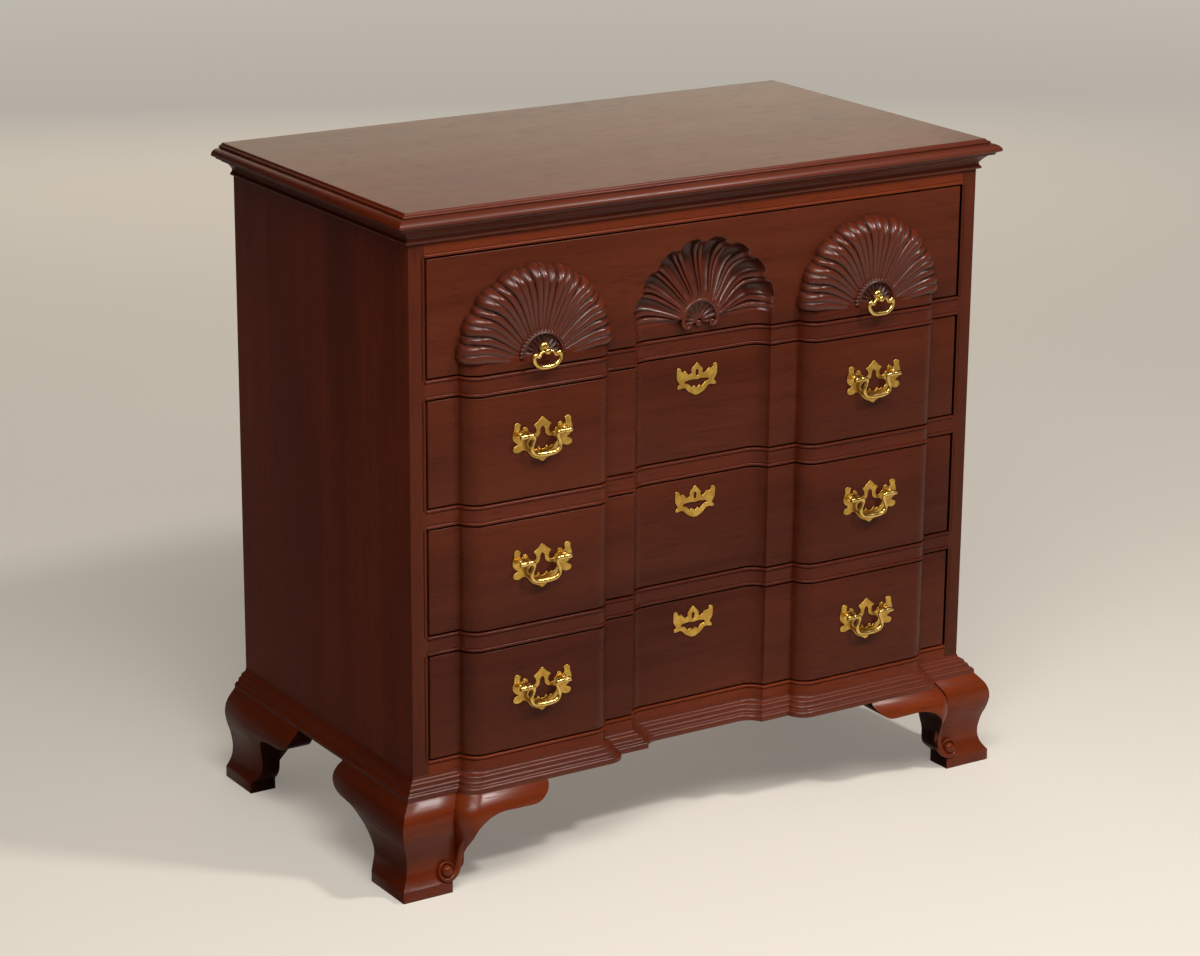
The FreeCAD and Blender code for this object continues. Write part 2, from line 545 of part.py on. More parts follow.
def pierced_plate(outline, piercing, y):
    """Thin cast plate lying against a front whose face is at y."""
    thickness = point(0, -PLATE_THICKNESS, 0)
    return symmetric_face(outline, y).extrude(thickness).cut(symmetric_face(piercing, y).extrude(thickness))


def key_plate(y):
    """Escutcheon with a narrow slot in its finial."""
    plate = pierced_plate(KEY_PLATE, KEY_PLATE_PIERCING, y)
    slot = box((-SLOT_HALF_WIDTH, SLOT_HALF_WIDTH), (-CLEAR_OUT, CLEAR_OUT), SLOT_SPAN)
    ends = [drill(SLOT_HALF_WIDTH, 0.0, z) for z in SLOT_SPAN]
    return plate.cut(slot.fuse(ends))


def post(x):
    """Post through the drawer front: collar, shank, nut and a barrel eye bored across for the bail."""
    plate_face = point(x, BLOCK_FACE - PLATE_THICKNESS, 0)
    collar = Part.makeCone(COLLAR_RADII[0], COLLAR_RADII[1], COLLAR_HEIGHT, plate_face, point(0, -1, 0))
    shank_end = FRONT_BACK + NUT_SPACE
    shank = Part.makeCylinder(SHANK_RADIUS, shank_end - EYE_Y, point(x, EYE_Y, 0), point(0, 1, 0))
    nut = Part.makeCylinder(NUT_RADIUS, NUT_HEIGHT, point(x, FRONT_BACK, 0), point(0, 1, 0))
    eye = Part.makeCylinder(EYE_RADIUS, EYE_LENGTH, point(x - EYE_LENGTH / 2, EYE_Y, 0), point(1, 0, 0))
    bore_radius = BAIL_RADIUS + BORE_CLEARANCE
    bore = Part.makeCylinder(bore_radius, EYE_LENGTH * 2, point(x - EYE_LENGTH, EYE_Y, 0), point(1, 0, 0))
    return eye.fuse([collar, shank, nut]).cut(bore)


def ring_post():
    """Small post of a ring pull, with a round rose and a ball head."""
    rose = Part.makeCone(ROSE_RADII[0], ROSE_RADII[1], ROSE_HEIGHT, point(0, -HUB_FRONT, 0), point(0, -1, 0))
    shank = Part.makeCylinder(RING_SHANK_RADIUS, FRONT_BACK + RING_NUT_SPACE - RING_Y, point(0, RING_Y, 0),
                              point(0, 1, 0))
    nut = Part.makeCylinder(RING_NUT_RADIUS, RING_NUT_HEIGHT, point(0, FRONT_BACK, 0), point(0, 1, 0))
    head = Part.makeSphere(RING_HEAD_RADIUS, point(0, RING_Y, 0))
    bore_radius = RING_BAIL_RADIUS + BORE_CLEARANCE
    bore = Part.makeCylinder(bore_radius, EYE_LENGTH * 2, point(-EYE_LENGTH, RING_Y, 0), point(1, 0, 0))
    return head.fuse([rose, shank, nut]).cut(bore)


def smooth_path(points, radii):
    """Straight runs joined by tangent arcs of the given radii."""
    edges = []
    at = points[0]
    for before, corner, after, radius in zip(points, points[1:], points[2:], radii):
        inward = (before - corner).normalize()
        onward = (after - corner).normalize()
        half = inward.getAngle(onward) / 2
        back_off = radius / math.tan(half)
        start = corner + inward * back_off
        end = corner + onward * back_off
        bisector = (inward + onward).normalize()
        middle = corner + bisector * (radius / math.sin(half) - radius)
        if (start - at).Length > SAME_POINT:
            edges.append(Part.LineSegment(at, start).toShape())
        edges.append(Part.Arc(start, middle, end).toShape())
        at = end
    edges.append(Part.LineSegment(at, points[-1]).toShape())
    return Part.Wire(edges)


def bail(half_points, radii, y, radius):
    """A handle swept along a path in the plane y, the same on both sides of the middle."""
    points = [point(x, y, z) for x, z in half_points]
    points += [point(-p.x, p.y, p.z) for p in points[::-1]]
    path = smooth_path(points, radii + radii[::-1])
    circle = Part.Wire([Part.makeCircle(radius, points[0], point(1, 0, 0))])
    return path.makePipeShell([circle], True, False)


def make_pulls(number, level):
    """Two pulls on the blocks and an escutcheon in the recess of one lower drawer."""
    middle = (level[0] + level[1]) / 2
    height = middle + PULL_ABOVE_MIDDLE
    half_spacing = POST_SPACING / 2
    holes = []
    plates = []
    posts = []
    plate = pierced_plate(WILLOW, WILLOW_PIERCING, BLOCK_FACE)
    for x in (-half_spacing, half_spacing):
        hole = drill(SHANK_RADIUS, x)
        holes.append(hole)
        plate = plate.cut(hole)
        posts.append(post(x))
    bail_end = (-half_spacing - EYE_LENGTH / 2 - BAIL_TUCK, 0.0)
    handle = bail([bail_end] + BAIL_PATH, BAIL_ROUNDS, EYE_Y, BAIL_RADIUS)
    front = plain_front(level)
    name = "drawer_{}_".format(number)
    for side, centre in (("left", -BLOCK_CENTRE), ("right", BLOCK_CENTRE)):
        place = point(centre, 0, height)
        plates.append(plate.translated(place))
        posts.extend([p.translated(place) for p in posts[:2]])
        front = front.cut(Part.makeCompound([h.translated(place) for h in holes]))
        write(name + "bail_" + side, handle.translated(place))
    write(name + "backplates", Part.makeCompound(plates))
    write(name + "pull_posts", Part.makeCompound(posts[2:]))
    place = point(0, 0, middle + ESCUTCHEON_ABOVE_MIDDLE)
    write(name + "escutcheon", key_plate(RECESS_DEPTH).translated(place))
    return front


def make_top_drawer(level):
    """Top drawer front with its two standing shells and their ring pulls."""
    front = shell_front(level)
    shell = standing_shell()
    stud = ring_post()
    ring = bail(RING_PATH, RING_ROUNDS, RING_Y, RING_BAIL_RADIUS)
    hole = drill(RING_SHANK_RADIUS)
    studs = []
    for side, centre in (("left", -BLOCK_CENTRE), ("right", BLOCK_CENTRE)):
        place = point(centre, 0, SHELL_BASE + RING_ABOVE_BASE)
        front = front.cut(hole.translated(place))
        studs.append(stud.translated(place))
        write("shell_" + side, shell.translated(point(centre, 0, SHELL_BASE)))
        write("ring_bail_" + side, ring.translated(place))
    write("ring_posts", Part.makeCompound(studs))
    return front


def main():
    os.makedirs("parts", exist_ok=True)
    make_top()
    make_mouldings()
    make_carcase()
    make_feet()
    make_drawer_box(1, LEVELS[0], make_top_drawer(LEVELS[0]))
    for number, level in enumerate(LEVELS[1:], start=2):
        make_drawer_box(number, level, make_pulls(number, level))


main()
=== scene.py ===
"""Looks of a block front chest of drawers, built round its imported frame.

Shapes are drawn in millimetres in the carcase's own frame: y = 0 is the front plane of the stiles,
x = 0 the middle and z = 0 the floor. at() turns such a point into the frame's metres.
"""
import math

import bmesh
import bpy
from mathutils import Matrix, Vector, geometry


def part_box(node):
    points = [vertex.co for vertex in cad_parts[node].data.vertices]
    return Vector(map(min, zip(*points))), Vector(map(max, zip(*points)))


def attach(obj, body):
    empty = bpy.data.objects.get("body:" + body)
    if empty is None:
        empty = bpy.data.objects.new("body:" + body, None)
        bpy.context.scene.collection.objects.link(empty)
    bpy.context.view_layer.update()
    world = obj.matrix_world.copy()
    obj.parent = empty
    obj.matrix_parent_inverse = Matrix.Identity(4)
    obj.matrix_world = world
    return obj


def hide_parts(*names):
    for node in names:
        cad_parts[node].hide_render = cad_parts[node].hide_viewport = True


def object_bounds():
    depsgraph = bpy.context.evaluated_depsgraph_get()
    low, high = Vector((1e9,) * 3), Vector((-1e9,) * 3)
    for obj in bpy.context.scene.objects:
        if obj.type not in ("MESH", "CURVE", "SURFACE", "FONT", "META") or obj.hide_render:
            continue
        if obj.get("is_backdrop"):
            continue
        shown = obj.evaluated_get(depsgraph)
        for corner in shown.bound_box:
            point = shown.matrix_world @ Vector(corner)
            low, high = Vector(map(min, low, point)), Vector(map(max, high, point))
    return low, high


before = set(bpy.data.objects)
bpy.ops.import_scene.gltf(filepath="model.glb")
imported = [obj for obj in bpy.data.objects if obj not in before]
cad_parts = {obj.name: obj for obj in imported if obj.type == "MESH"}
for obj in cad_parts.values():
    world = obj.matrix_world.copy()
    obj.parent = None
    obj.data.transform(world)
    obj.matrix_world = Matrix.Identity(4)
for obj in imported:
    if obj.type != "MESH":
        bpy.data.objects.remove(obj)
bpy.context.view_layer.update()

MM = 0.001

# ---- places read from the frame, in millimetres --------------------------------------------------
STILE_LOW, STILE_HIGH = [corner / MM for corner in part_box("side_panel_left")]
FRONT_PLANE = STILE_LOW.y
CASE_HALF = -STILE_LOW.x
OPENING_HALF = -STILE_HIGH.x
CASE_DEPTH = STILE_HIGH.y - FRONT_PLANE
BASE_BOTTOM = STILE_LOW.z
TOP_UNDERSIDE = STILE_HIGH.z
TOP_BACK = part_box("top_board")[1].y / MM - FRONT_PLANE
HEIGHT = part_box("top_board")[1].z / MM
DRAWERS = {}
for number in (1, 2, 3, 4):
    low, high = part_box("drawer_{}_front".format(number))
    DRAWERS[number] = (low.z / MM, high.z / MM)
DRAWER_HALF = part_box("drawer_2_front")[1].x / MM
FRONT_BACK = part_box("drawer_2_front")[1].y / MM - FRONT_PLANE
BLADES = {}
for name in ("drawer_blade_upper", "drawer_blade_middle", "drawer_blade_lower", "bottom_rail", "top_rail"):
    low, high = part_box(name)
    BLADES[name] = (low.z / MM, high.z / MM)

# ---- the block front -----------------------------------------------------------------------------
BLOCK_RISE = 21.0          # the blocks stand this far in front of the stiles
RECESS_DEPTH = 17.0        # the middle is sunk this far behind them
BLOCK_OUTER = 362.0        # a block's turns start this far from the middle of the chest
BLOCK_INNER = 148.0
BLOCK_CENTRE = (BLOCK_OUTER + BLOCK_INNER) / 2
HANDS = (("left", -BLOCK_CENTRE), ("right", BLOCK_CENTRE))
RECESS_EDGE = 104.0        # and those of the sunk middle this far
TURN_RADIUS = 26.0
SPREAD = 0.8               # a moulding's turns move sideways by this share of its overhang
TURN_SIDE = math.sqrt(TURN_RADIUS ** 2 - (TURN_RADIUS - BLOCK_RISE) ** 2)
RECESS_SIDE = math.sqrt(TURN_RADIUS ** 2 - (TURN_RADIUS - RECESS_DEPTH) ** 2)
TURN_STEPS = 12            # faces round each turn
RAIL_DEPTH = 70.0
LAP = 12.0                 # a drawer front is this thick where its sides lap into it
DRAWER_BOARD = 12.0
BEAD_HEIGHT = 4.0
BEAD_PROUD = 1.2
STILE_BEAD = 4.0
QUIRK = 0.8                # depth and width of the groove beside a bead
GAP = 2.2                  # clearance above and below a drawer front

# ---- carving and brasses -------------------------------------------------------------------------
SHELL_BASE = 683.0
SHELL_RADIUS = 113.0
LOBES = 9
FLUTE_STEP = 20.6          # degrees from one hollow of the sunk shell to the next
FLUTE_HALF = 0.27          # half width of a hollow of the sunk shell, as a share of one step
LOWEST_LOBE = 83.0         # degrees from upright to the middle of the lowest lobe
HUB_HEIGHT = 680.5
HUB_RADIUS = 29.5
HUB_FRONT = 25.0
SUNK_RADIUS = 110.5
SUNK_HUB = 28.5
RING_HEIGHT = 687.6
RING_Y = -33.0
PULL_ABOVE_MIDDLE = 13.4
KEY_PLATE_ABOVE_MIDDLE = 36.4
POST_HALF_SPACING = 32.0
PLATE_FACE = -BLOCK_RISE
PLATE_THICKNESS = 1.5
PLATE_ROUND = 0.7          # radius of the cast plates' edges
CAST_LOSS = 0.6            # a plate's outline stands in by this before its edge is rounded
EYE_Y = PLATE_FACE - PLATE_THICKNESS - 8.0

# (x, z, radius) along the left half of a handle, from its pivot to the middle of its bar
BAIL = [
    (-37.0, 0.0, 1.9), (-32.0, 0.0, 1.9), (-26.5, 0.0, 1.9), (-26.3, 0.0, 3.1), (-22.6, 0.0, 3.2),
    (-19.4, -0.2, 3.1), (-17.4, -1.7, 2.8), (-17.2, -4.8, 2.5), (-18.5, -8.4, 2.5), (-20.0, -12.0, 2.5),
    (-20.7, -15.8, 2.6), (-19.6, -20.6, 2.8), (-15.6, -24.4, 3.0), (-8.0, -25.9, 3.3),
    (0.0, -26.1, 3.5),
]
RING_BAIL = [
    (-2.0, 0.0, 1.4), (-6.0, 0.0, 1.4), (-9.0, -0.8, 1.8), (-11.0, -4.2, 2.3), (-13.2, -5.4, 2.5),
    (-15.2, -3.6, 2.8), (-17.2, -3.0, 2.9), (-18.9, -5.4, 2.8), (-19.0, -9.0, 2.7), (-17.8, -12.4, 2.7),
    (-15.2, -15.6, 2.8), (-11.8, -18.0, 2.9), (-8.0, -19.2, 3.0), (-4.0, -19.6, 3.1), (0.0, -19.7, 3.1),
]
# (x, z) round the right half of a plate or of its piercing, from the top down
WILLOW = [
    (0.0, 20.2), (3.0, 17.9), (6.0, 15.0), (9.0, 12.6), (12.6, 9.8), (10.4, 7.4), (9.2, 4.2),
    (9.6, 0.6), (12.6, -2.2), (16.0, -1.6), (18.2, 2.0), (20.6, 3.2), (21.4, 6.2), (22.8, 8.8),
    (25.4, 9.9), (28.0, 8.8), (29.0, 6.2), (31.0, 5.6), (32.8, 8.0), (32.8, 11.0), (31.8, 13.2),
    (33.8, 15.6), (37.4, 16.4), (41.0, 14.0), (41.0, 9.6), (42.2, 5.6), (43.4, 1.0), (42.8, -4.2),
    (39.4, -8.2), (35.6, -11.0), (38.4, -12.6), (41.6, -14.4), (42.8, -17.4), (41.2, -20.6),
    (37.4, -22.0), (33.0, -21.6), (29.4, -19.7), (26.2, -19.6), (22.2, -21.6), (19.2, -25.4),
    (15.0, -29.8), (9.6, -32.8), (5.6, -34.2), (0.0, -37.4),
]
WILLOW_PIERCING = [
    (0.0, 8.0), (3.0, 5.0), (3.6, 1.6), (4.6, -2.4), (8.4, -5.8), (14.0, -7.0), (18.8, -9.0),
    (20.8, -12.8), (19.4, -16.0), (16.2, -19.4), (13.0, -18.4), (9.6, -21.2), (6.2, -17.4),
    (3.0, -21.0), (0.0, -21.8),
]
KEY_PLATE = [
    (0.0, 21.2), (4.0, 17.4), (7.6, 13.6), (8.8, 11.4), (8.2, 8.6), (9.6, 6.6), (12.4, 6.4),
    (15.2, 8.6), (18.2, 11.6), (21.2, 11.0), (23.9, 12.4), (25.0, 15.6), (27.8, 17.2), (30.6, 15.6),
    (31.2, 12.0), (31.2, 6.2), (30.4, 1.6), (28.0, -2.0), (26.8, -5.2), (29.6, -8.0), (29.6, -10.8),
    (26.4, -11.3), (21.6, -10.3), (17.4, -11.2), (14.2, -14.6), (10.8, -17.4), (6.8, -19.4),
    (3.4, -21.0), (0.0, -21.4),
]
KEY_PLATE_PIERCING = [
    (0.0, -1.2), (6.5, -0.4), (13.0, -1.0), (17.4, -1.6), (18.8, -3.4), (17.2, -5.2), (13.4, -5.8),
    (10.6, -8.2), (7.8, -10.8), (5.8, -9.6), (4.0, -9.0), (2.2, -10.4), (0.0, -12.2),
]
KEY_SLOT = (5.6, 10.4)     # heights of the middles of the key slot's two rounded ends

# ---- feet ----------------------------------------------------------------------------------------
INSET = 3.0                # the brackets' inner faces stand this far inside the case
FOOT_EDGE = 0.7            # width of the eased edges of the feet
SAW_MARGIN = 9.0           # a sawn outline runs this far past the wood it is cut from

# (overhang, height) up the feet
OGEE = [
    (34.0, 0.0), (34.0, 15.0), (34.0, 15.0), (30.5, 19.5), (26.6, 26.0), (24.0, 34.0), (23.2, 43.0),
    (24.0, 52.0), (26.6, 65.0), (30.0, 75.0), (32.4, 84.0), (33.8, 94.0), (32.6, 104.0), (29.4, 112.0),
    (24.6, 118.6), (17.9, BASE_BOTTOM - 1.8), (17.0, BASE_BOTTOM),
]
# sawn outlines: (x, height) in front, (distance from the front or back of the case, height) at the sides
FRONT_BRACKET = [
    (-394.0, 0.0), (-394.0, 17.0), (-378.5, 32.6), (-376.5, 53.5), (-372.3, 68.5), (-366.5, 85.7),
    (-353.7, 96.7), (-333.6, 103.2), (-305.9, 103.3), (-279.5, 104.0), (-265.2, 112.4), (-257.6, 121.6),
    (-257.0, BASE_BOTTOM),
]
SIDE_BRACKET = [
    (50.0, 0.0), (50.0, 15.0), (57.0, 24.0), (61.4, 36.3), (67.5, 46.5), (77.6, 62.3), (89.7, 76.5),
    (104.2, 84.2), (120.8, 86.9), (135.4, 89.3), (148.0, 96.0), (155.4, 107.0), (156.4, 119.0),
    (153.0, BASE_BOTTOM),
]
REAR_BRACKET = [
    (74.0, 0.0), (74.0, 15.0), (82.0, 23.0), (87.6, 33.0), (89.4, 46.0), (91.6, 60.0), (96.0, 74.0),
    (105.0, 85.4), (122.0, 90.3), (139.0, 91.8), (156.0, 92.9), (170.0, 95.8), (179.6, 101.5),
    (184.6, 108.6), (187.0, 117.0), (187.0, BASE_BOTTOM),
]
SCROLL = (-399.8, 28.6)    # x and height of the whorl's button
# (x, z, y, radius) down the edge of the block and round the button
WHORL_STEM = [
    (-376.8, 80.0, -40.0, 1.5), (-378.2, 68.0, -35.5, 3.0), (-379.6, 56.0, -31.0, 4.2),
    (-380.8, 45.0, -28.6, 4.6), (-382.8, 35.0, -28.4, 4.7), (-386.4, 26.6, -30.0, 4.6),
    (-392.2, 20.6, -32.0, 4.0), (-399.4, 18.0, -33.2, 3.3), (-406.4, 20.0, -32.6, 2.6),
    (-410.4, 26.0, -30.4, 2.0), (-410.0, 33.2, -28.4, 1.8), (-404.8, 38.8, -27.2, 1.7),
    (-397.6, 39.2, -27.0, 1.6), (-391.8, 35.8, -27.8, 1.3), (-389.6, 31.0, -28.6, 0.9),
]


def at(x, y, z):
    """A point in millimetres, in the frame's metres."""
    return Vector((x, y + FRONT_PLANE, z)) * MM


# ---- curves and profiles -------------------------------------------------------------------------
def through(points, per=4, closed=False):
    """A smooth line through points; a point given twice makes a corner."""
    line = []
    count = len(points)
    for index in range(count if closed else count - 1):
        a, b, c, d = [Vector(points[i % count] if closed else points[min(max(i, 0), count - 1)])
                      for i in range(index - 1, index + 3)]
        if (c - b).length < 1e-6:
            continue
        start = (c - a) / 2 if (b - a).length > 1e-6 else (c - b)
        end = (d - b) / 2 if (d - c).length > 1e-6 else (c - b)
        for step in range(per):
            t = step / per
            line.append(b * (2 * t ** 3 - 3 * t ** 2 + 1) + start * (t ** 3 - 2 * t ** 2 + t)
                        + c * (3 * t ** 2 - 2 * t ** 3) + end * (t ** 3 - t ** 2))
    if not closed:
        line.append(Vector(points[-1]))
    return [tuple(p) for p in line]


def arc(centre, radii, start, end, steps=6):
    """Points along an elliptical arc, angles in degrees."""
    angles = [math.radians(start + (end - start) * i / steps) for i in range(steps + 1)]
    return [(centre[0] + radii[0] * math.cos(a), centre[1] + radii[1] * math.sin(a)) for a in angles]


def smooth(value, low, high):
    """0 below low, 1 above high, and a soft rise between them."""
    t = min(max((value - low) / (high - low), 0.0), 1.0)
    return t * t * (3 - 2 * t)


def dome(distance):
    """Height of a half circle of radius 1 at a distance from its middle; 0 beyond its ends."""
    return math.sqrt(max(1 - distance ** 2, 0.0))


def rounded(distance, reach):
    """How far a round of that reach has fallen away at a distance from its crest; 0 to 1."""
    return 1 - dome(distance / reach)


def raised(pairs, base):
    """(overhang, height) pairs moved up to a base height."""
    return [(out, base + height) for out, height in pairs]


def front_line(x, out=0.0):
    """y of the block front at x, for a surface that stands out from the case by that much."""
    side = abs(x)
    shift = SPREAD * out
    y = -out
    inside_block = min(side - (BLOCK_INNER - shift), (BLOCK_OUTER + shift) - side)
    if inside_block > 0:
        across = max(TURN_SIDE - inside_block, 0.0)
        y = -BLOCK_RISE - out + TURN_RADIUS - math.sqrt(TURN_RADIUS ** 2 - across ** 2)
    inside_recess = (RECESS_EDGE - shift) - side
    if inside_recess > 0:
        across = max(RECESS_SIDE - inside_recess, 0.0)
        y = RECESS_DEPTH - out - TURN_RADIUS + math.sqrt(TURN_RADIUS ** 2 - across ** 2)
    return y


def turn_stations(out):
    """x of every point along the right half's turns, from the middle outwards."""
    shift = SPREAD * out
    recess_start = math.atan2(RECESS_SIDE, TURN_RADIUS - RECESS_DEPTH)
    block_start = math.atan2(TURN_SIDE, TURN_RADIUS - BLOCK_RISE)
    recess, inner, outer = [], [], []
    for i in range(TURN_STEPS + 1):
        share = i / TURN_STEPS
        recess.append(RECESS_EDGE - shift - RECESS_SIDE + TURN_RADIUS * math.sin(recess_start * share))
        inner.append(BLOCK_INNER - shift + TURN_SIDE - TURN_RADIUS * math.sin(block_start * (1 - share)))
        outer.append(BLOCK_OUTER + shift - TURN_SIDE + TURN_RADIUS * math.sin(block_start * share))
    return recess + inner + outer


def front_stations(half, out=0.0, edge=()):
    """x along the whole front, left to right; edge gives extra distances in from each end."""
    right = turn_stations(out) + sorted(half - d for d in edge) + [half]
    return [-x for x in reversed(right)] + [0.0] + right


# ---- building pieces -----------------------------------------------------------------------------
class Carving:
    """Points and faces of one piece as it is built up, with each carved point's painted shade: how much its
    colour is darkened in grooves and under rims.
    """

    def __init__(self):
        self.points = []
        self.faces = []
        self.painted_shade = {}

    def sheet(self, rows, closed=False):
        """A surface through rows of points; closed joins the end of each row to its start."""
        first = len(self.points)
        width = len(rows[0])
        for row in rows:
            self.points.extend(row)
        for r in range(len(rows) - 1):
            for c in range(width if closed else width - 1):
                a = first + r * width + c
                b = first + r * width + (c + 1) % width
                self.faces.append((a, b, b + width, a + width))
        return self

    def carved(self, rows):
        """A surface through rows of (x, y, z, shade) points, shade being the point's painted shade."""
        first = len(self.points)
        self.painted_shade.update(enumerate([point[3] for row in rows for point in row], first))
        return self.sheet([[point[:3] for point in row] for row in rows])

    def cap(self, loop):
        """One flat face round a loop of points."""
        first = len(self.points)
        self.points.extend(loop)
        self.faces.append(tuple(range(first, first + len(loop))))
        return self

    def solid(self, rows):
        """Closed rows joined to a tube with both ends capped."""
        return self.sheet(rows, closed=True).cap(rows[0]).cap(rows[-1])

    def mirrored(self):
        """The same shape on both sides of the middle."""
        first = len(self.points)
        self.points.extend([(-x, y, z) for x, y, z in self.points])
        self.faces.extend([tuple(first + i for i in reversed(face)) for face in self.faces])
        return self

    def moved(self, x=0.0, z=0.0):
        self.points = [(p[0] + x, p[1], p[2] + z) for p in self.points]
        return self

    def flipped(self):
        """The shape's mirror image in the middle plane."""
        self.points = [(-x, y, z) for x, y, z in self.points]
        return self

    def join(self, other):
        first = len(self.points)
        self.points.extend(other.points)
        self.faces.extend([tuple(first + i for i in face) for face in other.faces])
        self.painted_shade.update({first + index: value for index, value in other.painted_shade.items()})
        return self

    def mesh(self, name):
        shape = bpy.data.meshes.new(name)
        shape.from_pydata([at(*p) for p in self.points], [], self.faces)
        # the hollow attribute carries painted shade: how much carved wood is darkened where shade falls in
        # its grooves and under its rims
        if self.painted_shade:
            layer = shape.attributes.new("hollow", "FLOAT", "POINT")
            for index, value in self.painted_shade.items():
                layer.data[index].value = value
        work = bmesh.new()
        work.from_mesh(shape)
        bmesh.ops.remove_doubles(work, verts=work.verts, dist=0.004 * MM)
        bmesh.ops.dissolve_degenerate(work, dist=0.002 * MM, edges=work.edges)
        bmesh.ops.recalc_face_normals(work, faces=work.faces)
        work.to_mesh(shape)
        work.free()
        return shape


def show(shape, name, material, body, nodes=(), crease=38.0):
    """Make an object of a mesh, give it its finish and let it ride on its body."""
    shape.shade_smooth()
    shape.set_sharp_from_angle(angle=math.radians(crease))
    shape.materials.clear()
    shape.materials.append(material)
    piece = bpy.data.objects.new(name, shape)
    bpy.context.scene.collection.objects.link(piece)
    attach(piece, body)
    if nodes:
        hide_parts(*nodes)
    return piece


def show_brass(shape, name, metal, body, node):
    """Show a brass piece in place of one node."""
    return show(shape, name, metal, body, [node], crease=50.0)


def modified(shape, kind, **settings):
    """The mesh after one modifier."""
    holder = bpy.data.objects.new("work", shape)
    bpy.context.scene.collection.objects.link(holder)
    modifier = holder.modifiers.new("work", kind)
    for key, value in settings.items():
        setattr(modifier, key, value)
    graph = bpy.context.evaluated_depsgraph_get()
    result = bpy.data.meshes.new_from_object(holder.evaluated_get(graph))
    bpy.data.objects.remove(holder)
    return result


def softened(shape, width, angle):
    """The mesh with its edges sharper than an angle rounded by a small width in millimetres."""
    return modified(shape, "BEVEL", width=width * MM, limit_method="ANGLE", angle_limit=math.radians(angle),
                    segments=2, use_clamp_overlap=True, harden_normals=False)


def cut_to(shape, cutter):
    """The part of one closed mesh inside another."""
    holder = bpy.data.objects.new("cutter", cutter)
    bpy.context.scene.collection.objects.link(holder)
    result = modified(shape, "BOOLEAN", operation="INTERSECT", solver="EXACT", object=holder)
    bpy.data.objects.remove(holder)
    return result


def turned(profile, centre, axis="y", steps=32):
    """A shape turned on a lathe from (radius, distance) pairs along an axis through a centre."""
    rows = []
    for radius, distance in profile:
        ring = []
        for i in range(steps):
            a = 2 * math.pi * i / steps
            u, v = radius * math.cos(a), radius * math.sin(a)
            offset = (u, distance, v) if axis == "y" else (distance, u, v)
            ring.append(tuple(c + o for c, o in zip(centre, offset)))
        rows.append(ring)
    return Carving().sheet(rows, closed=True)


def wire(path, radii, steps=14):
    """A round bar along a path, with its own radius at every point."""
    path = [Vector(p) for p in path]
    rows = []
    across = None
    for index, here in enumerate(path):
        before = path[max(index - 1, 0)]
        after = path[min(index + 1, len(path) - 1)]
        along = (after - before).normalized()
        if across is None:
            across = along.orthogonal().normalized()
        across = (across - along * across.dot(along)).normalized()
        other = along.cross(across)
        ring = []
        for i in range(steps):
            a = 2 * math.pi * i / steps
            ring.append(tuple(here + (across * math.cos(a) + other * math.sin(a)) * radii[index]))
        rows.append(ring)
    return Carving().solid(rows)


# ---- finishes ------------------------------------------------------------------------------------
class Value:
    """One output in a material's nodes; arithmetic on it adds Math nodes."""

    def __init__(self, finish, socket):
        self.finish = finish
        self.socket = socket

    def math(self, operation, *others):
        return self.finish.node("Math", {"operation": operation}, 0, dict(enumerate((self,) + others)))

    def __add__(self, other):
        return self.math("ADD", other)

    __radd__ = __add__

    def __sub__(self, other):
        return self.math("SUBTRACT", other)

    def __rsub__(self, other):
        return self * -1.0 + other

    def __mul__(self, other):
        return self.math("MULTIPLY", other)

    __rmul__ = __mul__

    def clamped(self):
        return self.math("MAXIMUM", 0.0).math("MINIMUM", 1.0)


class Finish:
    """A material being put together; its shader is a Principled BSDF."""

    def __init__(self, name, **constants):
        self.material = bpy.data.materials.new(name)
        self.material.use_nodes = True
        self.tree = self.material.node_tree
        self.shader = next(n for n in self.tree.nodes if n.type == "BSDF_PRINCIPLED")
        for key, value in constants.items():
            self.shader.inputs[key].default_value = value

    def connect(self, place, value):
        if isinstance(value, Value):
            self.tree.links.new(value.socket, place)
        elif isinstance(value, (tuple, list)) and len(value) == 3 and len(place.default_value) == 4:
            place.default_value = tuple(value) + (1.0,)
        else:
            place.default_value = value

    def node(self, kind, settings, output, values):
        """One node: its settings come first, then the values or links of its sockets by name or number."""
        made = self.tree.nodes.new("ShaderNode" + kind)
        for key, value in settings.items():
            if key == "stops":
                self.set_stops(made.color_ramp, value)
            else:
                setattr(made, key, value)
        for key, value in values.items():
            self.connect(made.inputs[key], value)
        return Value(self, made.outputs[output])

    def set_stops(self, band, stops):
        while len(band.elements) < len(stops):
            band.elements.new(0.5)
        for element, (position, colour) in zip(band.elements, stops):
            element.position = position
            element.color = tuple(colour) + (1.0,)

    def coordinates(self):
        """Where a point lies in the object's own coordinates."""
        return self.node("TexCoord", {}, "Object", {})

    def noise(self, vector, scale, detail, roughness=0.5, distortion=0.0):
        return self.node("TexNoise", {}, "Fac", {"Vector": vector, "Scale": scale, "Detail": detail,
                                                 "Roughness": roughness, "Distortion": distortion})

    def grain(self, axis, along, across, detail, roughness=0.5, distortion=0.0):
        """Noise drawn out along one axis of the object."""
        factors = [across, across, across]
        factors["xyz".index(axis)] = along
        stretched = self.node("Mapping", {}, 0, {"Vector": self.coordinates(), "Scale": tuple(factors)})
        return self.noise(stretched, 1.0, detail, roughness, distortion)

    def mix(self, share, a, b):
        """Colour a where share is 0, and b where it is 1."""
        return self.node("Mix", {"data_type": "RGBA"}, 2, {0: share, 6: a, 7: b})

    def ramp(self, value, stops):
        """The colour at a value, between stops of (position, colour)."""
        return self.node("ValToRGB", {"stops": stops}, 0, {0: value})

    def bump(self, height, strength, distance):
        return self.node("Bump", {}, 0, {"Height": height, "Strength": strength, "Distance": distance})

    def wear(self, **outputs):
        """Feed the shader's own sockets and give back the material."""
        for key, value in outputs.items():
            self.connect(self.shader.inputs[key.replace("_", " ")], value)
        return self.material


